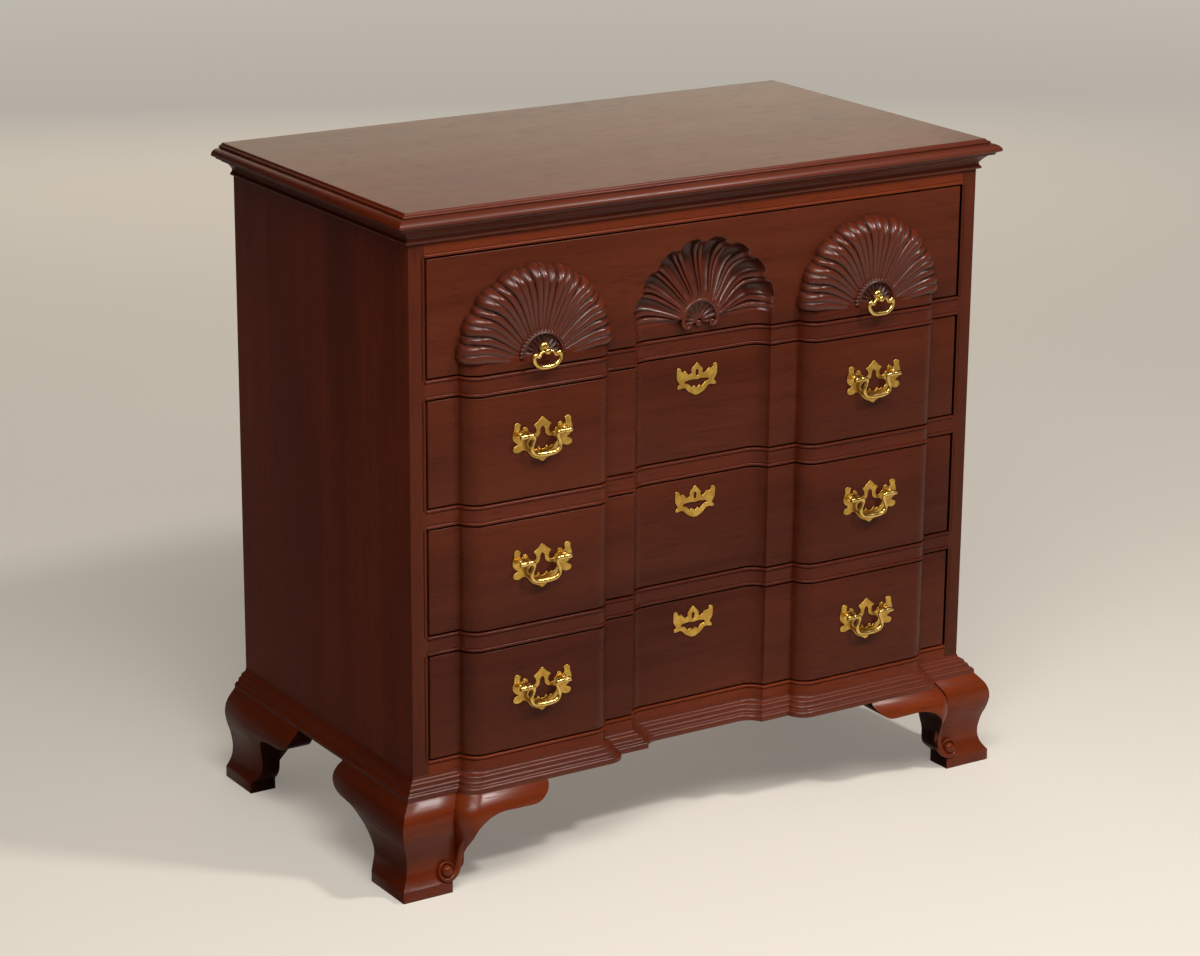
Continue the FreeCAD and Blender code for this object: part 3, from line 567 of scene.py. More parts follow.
def mahogany(name, axis, dark, light, ribbon=0.5, specular=0.25, gloss=0.24, carved=False):
    """Polished reddish mahogany: broad colour figure, ribbon stripe, open pores and a soft shine; carved
    wood is also darkened by painted shade in its grooves and under its rims.
    """
    finish = Finish(name, **{"IOR": 1.47, "Specular IOR Level": specular})
    figure = finish.grain(axis, 0.9, 9.0, 4.0, 0.55, 0.6)
    stripe = finish.grain(axis, 1.6, 42.0, 5.0, 0.62, 0.35)
    patch = finish.grain(axis, 2.2, 4.0, 2.0, 0.5, 0.3)
    pores = finish.grain(axis, 26.0, 620.0, 2.0, 0.6, 0.15)
    tone = (figure * 0.8 + stripe * ribbon + patch * 0.8 - (0.8 + ribbon * 0.5) + 0.5).clamped()
    middle = tuple((a + b) / 2 for a, b in zip(dark, light))
    wood = finish.ramp(tone, [(0.18, dark), (0.5, middle), (0.82, light)])
    pore = ((0.44 - pores) * 9.0).clamped()
    colour = finish.mix(pore * 0.42, wood, tuple(0.45 * c for c in dark))
    shine = gloss + stripe * 0.08 + pore * 0.10
    if carved:
        # painted shade: each point's hollow value darkens the carved wood where grooves, rims and pockets
        # would lie in shade
        hollow = finish.node("Attribute", {"attribute_name": "hollow"}, "Fac", {})
        colour = finish.mix(hollow, colour, tuple(0.12 * c for c in dark))
        shine = shine + hollow * 0.25
    surface = stripe * 0.4 - pore * 0.6
    return finish.wear(Base_Color=colour, Roughness=shine, Normal=finish.bump(surface, 0.12, 0.0004))


def secondary_wood(name, axis, shade_factor=1.0):
    """Plain wood of the parts that don't show; a shade factor below 1 darkens and reddens it as painted
    shade.
    """
    finish = Finish(name, IOR=1.45)
    rings = finish.grain(axis, 1.2, 26.0, 4.0, 0.6, 0.8)
    fine = finish.grain(axis, 14.0, 420.0, 2.0)
    shades = [(r * shade_factor, g * shade_factor ** 1.5, b * shade_factor ** 1.8) for r, g, b in
              ((0.36, 0.20, 0.095), (0.46, 0.28, 0.145), (0.54, 0.35, 0.19), (0.24, 0.13, 0.06))]
    wood = finish.ramp(rings, [(0.3, shades[0]), (0.5, shades[1]), (0.72, shades[2])])
    colour = finish.mix((fine - 0.5).math("ABSOLUTE") * 0.5, wood, shades[3])
    return finish.wear(Base_Color=colour, Roughness=0.52 + fine * 0.12,
                       Normal=finish.bump(fine, 0.15, 0.0003))


def brass(name, light, dark, shine):
    """Cast brass, lacquered: warm yellow with slightly darker patches and a softly uneven skin."""
    finish = Finish(name, Metallic=1.0)
    cloud = finish.noise(finish.coordinates(), 90.0, 3.0, 0.55)
    skin = finish.noise(finish.coordinates(), 420.0, 2.0)
    colour = finish.mix(((cloud - 0.42) * 3.0).clamped(), dark, light)
    return finish.wear(Base_Color=colour, Roughness=shine + cloud * 0.12,
                       Normal=finish.bump(skin, 0.25, 0.0003))


DARK_WOOD = (0.044, 0.0067, 0.0025)
LIGHT_WOOD = (0.107, 0.0215, 0.0078)
wood_x = mahogany("mahogany_lengthways", "x", DARK_WOOD, LIGHT_WOOD, specular=0.13)
# a darker, redder copy of the wood for side-facing mouldings, feet and edges: painted shade
wood_y_shaded = mahogany("mahogany_front_to_back_shaded", "y", (0.040, 0.0048, 0.0012), (0.095, 0.0135, 0.0032),
                  specular=0.03)
wood_top = mahogany("mahogany_top", "x", DARK_WOOD, LIGHT_WOOD, specular=0.75, gloss=0.30)
# a darker, redder copy of the wood for the sides: painted shade for faces turned away from the lamps
wood_side_shaded = mahogany("mahogany_side_shaded", "z", (0.042, 0.0050, 0.0012), (0.108, 0.0148, 0.0034),
                     specular=0.03, gloss=0.30)
wood_z = mahogany("mahogany_upright", "z", DARK_WOOD, LIGHT_WOOD, specular=0.10)
carved_wood = mahogany("mahogany_carved", "x", (0.058, 0.0084, 0.0027), (0.118, 0.0195, 0.0058),
                       ribbon=0.3, specular=0.42, gloss=0.23, carved=True)
wood_moulded = mahogany("mahogany_moulded", "x", (0.052, 0.0075, 0.0024), (0.130, 0.0215, 0.0064),
                        ribbon=0.4, specular=0.38, gloss=0.33)
wood_blade = mahogany("mahogany_blade", "x", (0.048, 0.0068, 0.0024), (0.120, 0.0210, 0.0070),
                      ribbon=0.4, specular=0.16)
# a lighter, more orange copy of the wood for the top and bottom rails: painted light where the lamps fall
# on them
wood_rail_lit = mahogany("mahogany_rail_lit", "x", (0.075, 0.0105, 0.0034), (0.170, 0.0300, 0.0085),
                     specular=0.12)
wood_stile = mahogany("mahogany_stile", "z", DARK_WOOD, LIGHT_WOOD, specular=0.14, gloss=0.26)
wood_foot = mahogany("mahogany_foot", "x", (0.080, 0.0100, 0.0020), (0.195, 0.0300, 0.0052),
                     specular=0.24, gloss=0.22)
plain_x = secondary_wood("poplar_lengthways", "x")
plain_y = secondary_wood("poplar_front_to_back", "y")
# near-black poplar as painted shade for pieces that sit in the dark under the case
shade_dark_z = secondary_wood("poplar_painted_shade", "z", shade_factor=0.05)
# near-black painted shade for sawn faces that sit in shadow under the case and under the brackets
edge_shade_wood = mahogany("mahogany_sawn_edge_painted_shade", "z", (0.010, 0.0022, 0.0011), (0.022, 0.0045, 0.0020),
                        specular=0.02)
plate_brass = brass("brass_plate", (0.74, 0.48, 0.11), (0.46, 0.26, 0.05), 0.26)
bail_brass = brass("brass_bail", (0.80, 0.58, 0.20), (0.60, 0.38, 0.10), 0.16)


# ---- top and mouldings ---------------------------------------------------------------------------
def around(out, back, z):
    """One row round the front and both sides, standing out from the case by that much."""
    x = CASE_HALF + out
    return [(-x, back, z), (-x, -out, z), (x, -out, z), (x, back, z)]


def closed_profile(profile):
    """A moulding's (overhang, height) pairs, closed along the case behind it."""
    return profile + [(0.0, profile[-1][1]), (0.0, profile[0][1]), profile[0]]


def side_returns(profile, name, crease):
    """A moulding's two returns along the sides, mitred at the front corners."""
    rows = [around(out, CASE_DEPTH, z)[:2] for out, z in closed_profile(profile)]
    shape = Carving().sheet(rows).cap([row[0] for row in rows]).mirrored()
    # the returns along the sides take the darker painted-shade copy of the wood
    show(shape.mesh(name), name + "_along_sides", wood_y_shaded, "case", [name + "_sides"], crease=crease)


def top_board():
    """Top with a rounded arris, a small bead and a thumb moulding on three sides."""
    profile = [(17.2, 0.0), (17.6, 1.3), (18.8, 2.0), (21.4, 3.3), (23.0, 3.9), (23.8, 4.3)]
    profile += arc((13.5, 5.4), (10.6, 8.0), 0, 62, 10) + [(17.7, 12.9), (14.9, 13.4), (13.0, 13.7)]
    profile += arc((10.9, 15.4), (1.7, 1.8), -60, 110, 7)
    profile += through([(9.5, 17.4), (8.7, 18.3), (8.1, 19.2)], 3) + arc((6.4, 18.6), (1.5, 1.4), 30, 90, 4)
    shape = Carving().solid([around(out, TOP_BACK, z) for out, z in raised(profile, TOP_UNDERSIDE)])
    shape = softened(shape.mesh("top_board"), 0.4, 60.0)
    top = show(shape, "top", wood_top, "case", ["top_board"], crease=30.0)
    for wood in (wood_moulded, wood_y_shaded):
        top.data.materials.append(wood)
    # side-facing edge faces take the darker painted-shade copy of the wood
    for face in top.data.polygons:
        if abs(face.normal.z) < 0.98:
            face.material_index = 2 if abs(face.normal.x) > abs(face.normal.y) else 1


def top_moulding():
    """Cove with a flared lower lip under the top, along the front and both sides."""
    profile = [(0.6, -21.0), (2.6, -20.8)] + arc((3.2, -18.6), (1.8, 1.9), -70, 40, 6)
    profile += through([(4.3, -17.3), (3.2, -16.0), (2.4, -14.8), (2.0, -13.0)], 4)
    cove = [(2.0, -13.0), (2.7, -11.4), (4.1, -9.4), (7.2, -5.7), (10.8, -2.6), (14.0, -1.3)]
    profile += through(cove, 4)
    profile = raised(profile + [(17.2, -0.8), (17.2, 0.0)], TOP_UNDERSIDE)
    front = Carving().sheet([around(out, CASE_DEPTH, z)[1:3] for out, z in closed_profile(profile)])
    show(front.mesh("front"), "top_moulding_along_front", wood_moulded, "case",
         ["top_moulding_front"], crease=28.0)
    side_returns(profile, "top_moulding", 28.0)


def base_moulding():
    """Base moulding of a fillet, three quarter rounds and a small cove; its front follows the blocks."""
    profile = [(17.8, -1.6), (17.8, 0.6)] + arc((13.4, 1.2), (4.4, 5.4), 6, 84, 8)
    profile += [(12.8, 6.7), (12.3, 7.3)] + arc((8.0, 8.0), (4.2, 4.9), 4, 82, 7)
    profile += [(8.2, 13.0), (7.9, 13.5)] + arc((4.2, 14.0), (3.6, 3.9), 4, 82, 7)
    profile += [(4.2, 18.1), (3.6, 18.5)]
    profile += through([(3.6, 18.5), (2.3, 19.1), (1.3, 20.4), (0.7, 22.2), (0.4, 23.6)], 3)[1:]
    profile = raised(profile, BASE_BOTTOM)
    rows = []
    for out, z in closed_profile(profile):
        rows.append([(x, front_line(x, out), z) for x in front_stations(CASE_HALF + out, out)])
    front = Carving().sheet(rows)
    show(front.mesh("front"), "base_moulding_along_front", wood_moulded, "case",
         ["base_moulding_front"], crease=30.0)
    side_returns(profile, "base_moulding", 30.0)


# ---- carcase -------------------------------------------------------------------------------------
def side_panels():
    """Sides; beside each drawer the front edge has a narrow groove that sets off the bead there."""
    edge = 1.0
    levels = [(BASE_BOTTOM, 0.0)]
    for number in (4, 3, 2, 1):
        low, high = DRAWERS[number]
        low, high = low - GAP, high + GAP
        levels += [(low, 0.0), (low + 0.05, QUIRK), (high - 0.05, QUIRK), (high, 0.0)]
    levels.append((TOP_UNDERSIDE, 0.0))
    inside = OPENING_HALF + STILE_BEAD
    rows = []
    for z, depth in levels:
        row = [(-CASE_HALF, CASE_DEPTH), (-CASE_HALF, edge)]
        row += arc((-CASE_HALF + edge, edge), (edge, edge), 202.5, 270.0, 3)
        row += [(-inside - QUIRK, 0.0), (-inside - QUIRK * 0.7, depth), (-inside, depth)]
        row += [(-inside + 0.3, 0.0), (-OPENING_HALF, 0.0), (-OPENING_HALF, CASE_DEPTH)]
        rows.append([(x, y, z) for x, y in row])
    side = Carving().solid(rows)
    for hand, _ in HANDS:
        panel = show(side.mesh("side"), "side_" + hand, wood_side_shaded, "case",
                     ["side_panel_" + hand], crease=34.0)
        # front-facing edges keep the front's wood; the rest of the side takes the darker painted-shade copy
        panel.data.materials.append(wood_stile)
        for face in panel.data.polygons:
            face.material_index = 1 if face.normal.y < -0.7 else 0
        side.flipped()


def beaded_profile(z_range, beads):
    """(overhang, height) pairs up the front of a rail; beads are the lower edges of its beads."""
    low, high = z_range
    middle = BEAD_HEIGHT / 2
    profile = []
    for bottom in sorted(beads):
        if bottom > low:
            profile += [(0.0, bottom - QUIRK), (-QUIRK, bottom - 0.3)]
        profile += arc((-0.15, bottom + middle), (BEAD_PROUD * 1.15, middle), -90, 90, 10)
        if bottom + BEAD_HEIGHT < high:
            profile += [(-QUIRK, bottom + BEAD_HEIGHT + 0.3), (0.0, bottom + BEAD_HEIGHT + QUIRK)]
    if min(beads) > low:
        profile.insert(0, (0.0, low))
    if max(beads) + BEAD_HEIGHT < high:
        profile.append((0.0, high))
    return profile


def rails():
    """Blades between the drawers and the rails above and below them; the top rail alone is straight."""
    for name, (low, high) in BLADES.items():
        upper = high - BEAD_HEIGHT
        beads = {"bottom_rail": [upper], "top_rail": [low]}.get(name, [low, upper])
        rows = []
        for out, z in [(-RAIL_DEPTH, low)] + beaded_profile((low, high), beads) + [(-RAIL_DEPTH, high)]:
            if name == "top_rail":
                rows.append([(x, -out, z) for x in (-OPENING_HALF, OPENING_HALF)])
            elif out == -RAIL_DEPTH:
                rows.append([(x, RAIL_DEPTH, z) for x in front_stations(OPENING_HALF)])
            else:
                rows.append([(x, front_line(x, out), z) for x in front_stations(OPENING_HALF, out)])
        rows.append(rows[0])
        # the top and bottom rails take the lighter painted-light copy of the wood
        wood = wood_rail_lit if name in ("top_rail", "bottom_rail") else wood_blade
        show(Carving().sheet(rows).mesh(name), name + "_beaded", wood, "case", [name], crease=42.0)


def stile_beads():
    """Upright beads on the inner edge of each stile, one beside each drawer."""
    inside = OPENING_HALF + STILE_BEAD
    outline = [(-inside, 6.0), (-inside, 0.3)]
    outline += arc((-inside + STILE_BEAD / 2, 0.2), (STILE_BEAD / 2, BEAD_PROUD + 0.2), 198, 360, 9)
    outline.append((-OPENING_HALF, 6.0))
    shape = Carving()
    for low, high in DRAWERS.values():
        shape.sheet([[(x, y, z) for x, y in outline] for z in (low - GAP, high + GAP)])
    show(shape.mirrored().mesh("beads"), "stile_beading", wood_z, "case", ["stile_beads"], crease=50.0)


# ---- feet ----------------------------------------------------------------------------------------
def prism(outline, plane, near, far):
    """A closed prism of an outline in the front plane (xz) or the side plane (yz)."""
    rows = []
    for depth in (near, far):
        rows.append([(a, depth, z) if plane == "xz" else (depth, a, z) for a, z in outline])
    return Carving().solid(rows)


def foot_outline(points, beyond):
    """The sawn outline of a bracket, closed well outside the bracket's own corner."""
    line = [points[0]] + through(points[1:], 6)
    above, below = BASE_BOTTOM + SAW_MARGIN, -SAW_MARGIN
    return line + [(points[-1][0], above), (beyond, above), (beyond, below), (points[0][0], below)]


def front_bracket():
    """Ogee bracket: a flat part by the corner, a groove, then the block carried down and round the wing."""
    end = -250.0
    start, back, beyond = -90.0, 30.0, -520.0
    rows = []
    for out, z in through(OGEE, 3):
        corner = -CASE_HALF - out
        edge = -BLOCK_OUTER - SPREAD * out
        row = [(corner, -out), (corner + 20.0, -out), (corner + 45.0, -out)]
        groove = [(3.2, 0.0), (2.7, 2.4), (1.6, 3.8), (0.5, 2.2)]
        row += [(edge - before, -out + depth) for before, depth in groove]
        line = [x for x in front_stations(CASE_HALF + out, out) if edge - 0.01 < x <= -BLOCK_CENTRE - 20.0]
        row += [(x, front_line(x, out)) for x in line + [end]]
        row += [(end, INSET), (-CASE_HALF + INSET, INSET)]
        rows.append([(x, y, z) for x, y in row])
    saw = prism(foot_outline(FRONT_BRACKET, beyond), "xz", start, back).mesh("saw")
    return softened(cut_to(Carving().solid(rows).mesh("bracket"), saw), FOOT_EDGE, 50.0)


def side_bracket(at_back):
    """Plain ogee side bracket; the rear one is longer and cut off square at the back of the case."""
    reach, beyond = 216.0, -90.0
    inner = -CASE_HALF + INSET
    rows = []
    for out, z in through(OGEE, 3):
        outer = -CASE_HALF - out
        near, behind = (0.0, 0.0) if at_back else (-out, INSET)
        corners = [(outer, y) for y in (near, 60.0, 110.0, reach)] + [(inner, reach), (inner, behind)]
        rows.append([(x, CASE_DEPTH - y if at_back else y, z) for x, y in corners])
    outline = foot_outline(REAR_BRACKET if at_back else SIDE_BRACKET, beyond)
    if at_back:
        outline = [(CASE_DEPTH - y, z) for y, z in outline]
    saw = prism(outline, "yz", -540.0, -380.0).mesh("saw")
    return softened(cut_to(Carving().solid(rows).mesh("bracket"), saw), FOOT_EDGE, 50.0)


def mirrored_mesh(shape):
    """The left foot's piece turned into the right foot's."""
    twin = shape.copy()
    twin.transform(Matrix.Scale(-1, 4, Vector((1, 0, 0))))
    twin.flip_normals()
    return twin


def shade_sawn_edges(piece, along, facing):
    """Darken with near-black painted shade the sawn faces that look one way along an axis, and those that
    look down.
    """
    piece.data.materials.append(edge_shade_wood)
    across = 1 - along
    for face in piece.data.polygons:
        inward = face.normal[along] * facing > 0.35 or face.normal.z < -0.3
        if inward and abs(face.normal[across]) < 0.2:
            face.material_index = 1


def foot_scroll():
    """Carved whorl at the foot of the block: the block's edge runs down and curls round a button."""
    x, z = SCROLL
    button = [(8.2, 8.0), (8.0, 0.0), (7.6, -1.8), (6.6, -3.6), (5.2, -4.9), (3.4, -5.8), (1.7, -6.3),
              (0.0, -6.4)]
    run = through(WHORL_STEM, 5)
    stem = wire([(px, y, pz) for px, pz, y, _ in run], [radius for _, _, _, radius in run], 14)
    return turned(button, (x, -30.0, z), steps=36).join(stem)


def feet():
    """The four feet, each bracket in place of its node, and the two whorls in front."""
    front, side, rear = front_bracket(), side_bracket(False), side_bracket(True)
    for hand, inward in (("left", 1), ("right", -1)):
        if hand == "right":
            front, side, rear = [mirrored_mesh(shape) for shape in (front, side, rear)]
        # the side brackets take the darker painted-shade copy of the wood
        for shape, piece, node, wood, along, facing in (
                (front, "foot_front_{}_block", "front_foot_{}_front_bracket", wood_foot, 0, inward),
                (side, "foot_front_{}_side", "front_foot_{}_side_bracket", wood_y_shaded, 1, 1),
                (rear, "foot_rear_{}_side", "rear_foot_{}_side_bracket", wood_y_shaded, 1, -1)):
            shade_sawn_edges(show(shape, piece.format(hand), wood, "case", [node.format(hand)]), along, facing)
        whorl = foot_scroll()
        if hand == "right":
            whorl.flipped()
        show(whorl.mesh("whorl"), "foot_front_{}_whorl".format(hand), wood_foot, "case", crease=60.0)


# ---- drawers -------------------------------------------------------------------------------------
EDGE_ROUND = 1.1           # radius of a drawer front's edges
EDGE_STEPS = [EDGE_ROUND * (1 - math.cos(math.radians(18 * i))) for i in range(1, 6)]
FROM_EDGE = [0.0] + EDGE_STEPS


def rounded_in(distance):
    """How far an edge's round has drawn back the face, at a distance in from the edge."""
    if distance >= EDGE_ROUND:
        return 0.0
    return EDGE_ROUND - math.sqrt(EDGE_ROUND ** 2 - (EDGE_ROUND - distance) ** 2)


def front_section(x, z_range, back):
    """Closed (x, y, z) outline of a drawer front at x, with rounded front edges."""
    low, high = z_range
    face = front_line(x) + rounded_in(DRAWER_HALF - abs(x))
    row = [(back, low)] + [(face + rounded_in(d), low + d) for d in FROM_EDGE]
    row += [(face + rounded_in(d), high - d) for d in reversed(FROM_EDGE)] + [(back, high)]
    return [(x, y, z) for y, z in row]


def drawer_front(number):
    """A lower drawer's front: blocks and recess in one board, rabbeted at its ends for the sides."""
    inner = DRAWER_HALF - DRAWER_BOARD
    stations = []
    for x in front_stations(DRAWER_HALF, 0.0, EDGE_STEPS):
        stations.append((x, LAP if abs(x) > inner else FRONT_BACK))
    stations += [(-inner, LAP), (-inner, FRONT_BACK), (inner, FRONT_BACK), (inner, LAP)]
    stations.sort(key=lambda station: station[0])
    shape = Carving().solid([front_section(x, DRAWERS[number], back) for x, back in stations])
    body = "drawer_{}".format(number)
    show(shape.mesh("front"), body + "_face", wood_x, body, [body + "_front"], crease=34.0)


def flute_place(angle):
    """Distance from the middle of the nearest hollow, as a share of one step; a rib is at the top."""
    cell = angle / FLUTE_STEP - 0.5
    return abs(cell - round(cell))


def sunk_depth(angle, radius, rim):
    """y of the sunk shell's surface and its painted shade, darkest in the grooves and under the rim; angle
    in degrees from upright.
    """
    share = (radius - SUNK_HUB) / (rim - SUNK_HUB)
    base = front_line(radius * RECESS_EDGE / rim)
    rise = 7.5 * (1 - smooth(radius, SUNK_HUB, 70.0)) \
        - 4.0 * smooth(share, 0.3, 0.75) * (1 - smooth(share, 0.9, 1.0))
    side = 1 - smooth(abs(angle), 78.0, 90.0)
    across = flute_place(angle)
    if across < FLUTE_HALF:
        cut = 5.0 * dome(across / FLUTE_HALF) + 0.3
        # dark is painted shade: a little in the middle of each hollow and strongly along its edges
        dark = 0.25 * dome(across / FLUTE_HALF) + 0.7 * math.exp(-((FLUTE_HALF - across) / 0.03) ** 2)
    else:
        place = (across - FLUTE_HALF) / (0.5 - FLUTE_HALF)
        seam = math.exp(-((1 - place) / 0.20) ** 2)
        cut = 0.3 - 3.2 * dome((place - 0.42) / 0.6) + 2.4 * seam
        dark = max(0.75 * seam, 0.85 * math.exp(-(place / 0.12) ** 2))
    strength = smooth(share, -0.05, 0.22) * (0.45 + 0.75 * share) * (1 - smooth(share, 0.97, 1.0))
    fade = 1 - smooth(abs(angle), 83.5, 90.0)
    # painted shadow in the top of each hollow, under the rim's overhang
    rim_shadow = 0.40 * smooth(share, 0.84, 0.97) * (across < FLUTE_HALF)
    return base - rise * side + cut * strength * fade, max(dark * min(strength * 1.2, 1.0), rim_shadow) * fade


def sunk_rim(angle):
    """Scalloped outline of the sunk shell."""
    bulge = dome(flute_place(angle) / 0.54)
    fade = 1 - smooth(abs(angle), 82.0, 90.0)
    return RECESS_EDGE + 0.5 + fade * (SUNK_RADIUS - RECESS_EDGE - 0.5) * (1.9 * bulge - 0.9)


def bent(angle, share):
    """The S-curve of a rib: it leaves the hub, leans inwards and flares out at its end."""
    lean = -math.sin(math.pi * min(share * 1.05, 1.0)) * 0.085 + 0.05 * smooth(share, 0.6, 1.0)
    fade = math.cos(math.radians(angle)) ** 0.5 if abs(angle) < 90 else 0.0
    return angle * (1 + lean * fade)


def polar(centre_z, angle, radius):
    """x and z at an angle in degrees from upright, round a centre in the middle plane."""
    a = math.radians(angle)
    return radius * math.sin(a), centre_z + radius * math.cos(a)


def sunk_shell():
    """Hollow of the sunk shell with its rim; also gives the rim's outline."""
    rows = []
    for step in range(361):
        angle = -90.0 + 0.5 * step
        rim = sunk_rim(angle)
        row = []
        for i in range(45):
            radius = SUNK_HUB + (rim - SUNK_HUB) * (1 - (1 - i / 44) ** 1.5)
            share = (radius - SUNK_HUB) / (rim - SUNK_HUB)
            x, z = polar(SHELL_BASE, bent(angle, share), radius)
            depth, dark = sunk_depth(angle, radius, rim)
            row.append((x, min(depth, FRONT_BACK - 2.0), z, dark))
        # the rim's last point gets a little painted shade
        row[-1] = (row[-1][0], 0.9, row[-1][2], 0.3)
        for grow, y in ((0.25, 0.35), (0.9, 0.0)):
            x, z = polar(SHELL_BASE, bent(angle, 1.0), rim + grow)
            row.append((x, y, z, 0.0))
        rows.append(row)
    return Carving().carved(rows), [(row[-1][0], row[-1][2]) for row in rows]


def flat_with_hole(hole, x_half, z_range):
    """The flat upper part of the top drawer round the sunk shell."""
    low, high = z_range
    outline = [(-x_half, low), (-x_half, high), (x_half, high), (x_half, low)] + hole[::-1]
    points, _, faces, _, _, _ = geometry.delaunay_2d_cdt(
        [Vector(p) for p in outline], [], [list(range(len(outline)))], 1, 1e-5)
    shape = Carving()
    shape.points = [(p.x, 0.0, p.y) for p in points]
    shape.faces = [tuple(face) for face in faces]
    return shape


def top_drawer_front():
    """Top drawer: flat above, blocks below the shells, and the sunk shell in the middle."""
    low, high = DRAWERS[1]
    half = DRAWER_HALF
    inner = half - DRAWER_BOARD
    hollow, hole = sunk_shell()
    shape = flat_with_hole(hole, half - EDGE_ROUND, (SHELL_BASE, high - EDGE_ROUND))
    rows = []
    for x in front_stations(half, 0.0, EDGE_STEPS):
        drawn = rounded_in(half - abs(x))
        face = front_line(x) + drawn
        row = [(LAP if abs(x) > inner else FRONT_BACK, low)]
        row += [(face + rounded_in(d), low + d) for d in FROM_EDGE]
        row += [(face, SHELL_BASE - 0.6), (face + (0.4 if face < -1 else 0.0), SHELL_BASE)]
        row.append((max(face, drawn), SHELL_BASE))
        rows.append([(x, y, z) for y, z in row])
    shape.sheet(rows)
    top = [(rounded_in(d), high - d) for d in reversed(FROM_EDGE)] + [(FRONT_BACK, high)]
    shape.sheet([[(x, y, z) for y, z in top] for x in (-half + EDGE_ROUND, half - EDGE_ROUND)])
    for sign in (-1, 1):
        rows = []
        for d in FROM_EDGE:
            face = rounded_in(d)
            row = [(face, SHELL_BASE), (face, high - EDGE_ROUND)]
            row += [(max(face, rounded_in(e)), high - e) for e in reversed(FROM_EDGE[:-1])]
            rows.append([(sign * (half - d), y, z) for y, z in row + [(LAP, high)]])
        shape.sheet(rows)
        x, x_in = sign * half, sign * inner
        shape.cap([(x, EDGE_ROUND, low), (x, EDGE_ROUND, high), (x, LAP, high), (x, LAP, low)])
        shape.cap([(x_in, LAP, low), (x_in, LAP, high), (x_in, FRONT_BACK, high), (x_in, FRONT_BACK, low)])
        shape.cap([(x_in, LAP, low), (x_in, LAP, high), (x, LAP, high), (x, LAP, low)])
    shape.cap([(-inner, FRONT_BACK, low), (inner, FRONT_BACK, low), (inner, FRONT_BACK, high),
               (-inner, FRONT_BACK, high)])
    show(shape.mesh("front"), "drawer_1_face", wood_x, "drawer_1", ["drawer_1_front"], crease=34.0)
    show(hollow.mesh("hollow"), "sunk_shell_carved", carved_wood, "drawer_1", crease=50.0)
    sunk_hub()


def sunk_hub():
    """Raised ring with curled ends round a small fluted fan, at the foot of the sunk shell."""
    centre = 683.6
    level = 11.0
    curl_x, curl_z = 18.6, centre - 5.0
    path = []
    for i in range(81):
        angle = -112.0 + 224.0 * i / 80
        curl = smooth(abs(angle), 94.0, 112.0)
        x, z = polar(centre, angle, SUNK_HUB - 2.2 - 2.8 * curl)
        path.append((x, level, z))
    shape = Carving().join(wire(path, [2.7] * len(path), 14))
    for side in (-1, 1):
        curl = []
        for i in range(31):
            turn = math.radians(200.0 - 380.0 * i / 30)
            reach = 4.6 - 2.6 * i / 30
            curl.append((side * (curl_x - reach * math.cos(turn)), level + 0.4 - 0.05 * i,
                         curl_z - reach * math.sin(turn)))
        shape.join(wire(curl, [2.2 - 0.9 * i / 30 for i in range(31)], 12))
        shape.join(turned([(4.0, 5.0), (3.8, 0.6), (2.8, -0.6), (1.4, -1.2), (0.0, -1.3)],
                          (side * curl_x, level + 0.4, curl_z), steps=20))
    rows = []
    for i in range(121):
        angle = -105.0 + 210.0 * i / 120
        row = []
        for j in range(15):
            share = j / 14
            x, z = polar(centre - 2.0, angle, 4.0 + (SUNK_HUB - 6.0) * share)
            wave = 1.1 * math.cos(math.radians(angle) * 16.0) * smooth(share, 0.1, 0.5)
            y = level + 1.2 + 2.4 * math.sin(math.pi * min(share * 1.1, 1.0)) + wave
            # the fourth value is painted shade over the small fan, deepest towards the ring
            row.append((x, y, z, 0.25 + 0.3 * smooth(wave, -0.4, 1.0) + 0.4 * smooth(share, 0.7, 1.0)))
        rows.append(row)
    shape.carved(rows)
    button = [(4.6, 8.0), (4.4, 2.6), (3.4, 1.8), (1.8, 1.4), (0.0, 1.3)]
    shape.join(turned(button, (0.0, level, curl_z), steps=24))
    show(shape.mesh("hub"), "sunk_shell_hub", carved_wood, "drawer_1", crease=60.0)


LOBE_STEP = 2 * LOWEST_LOBE / (LOBES - 1)
LOBE_WIDTH = 0.32          # half width of a broad lobe, as a share of one step
RIB_CREST = 0.48           # where the crest of a lobe's two ribs lies, as a share of that half width
SHELL_END_ROUND = 19.0     # how far in from the rim a standing shell starts to round down


def lobe_place(angle):
    """Distance from the middle of the nearest broad lobe, as a share of one step."""
    cell = angle / LOBE_STEP
    return abs(cell - round(cell))


def shell_rim(angle):
    """Scalloped outline of a standing shell: broad double lobes with a smaller rib drawn in between."""
    across = lobe_place(angle)
    width = LOBE_WIDTH + 0.04
    if across < width:
        t = across / width
        return SHELL_RADIUS - 6.0 * (1 - math.sqrt(1 - t ** 2 * 0.94)) - 0.8 * math.exp(-(t / 0.2) ** 2)
    place = (across - width) / (0.5 - width)
    return SHELL_RADIUS - 5.0 + 1.8 * math.sin(place * math.pi / 2)


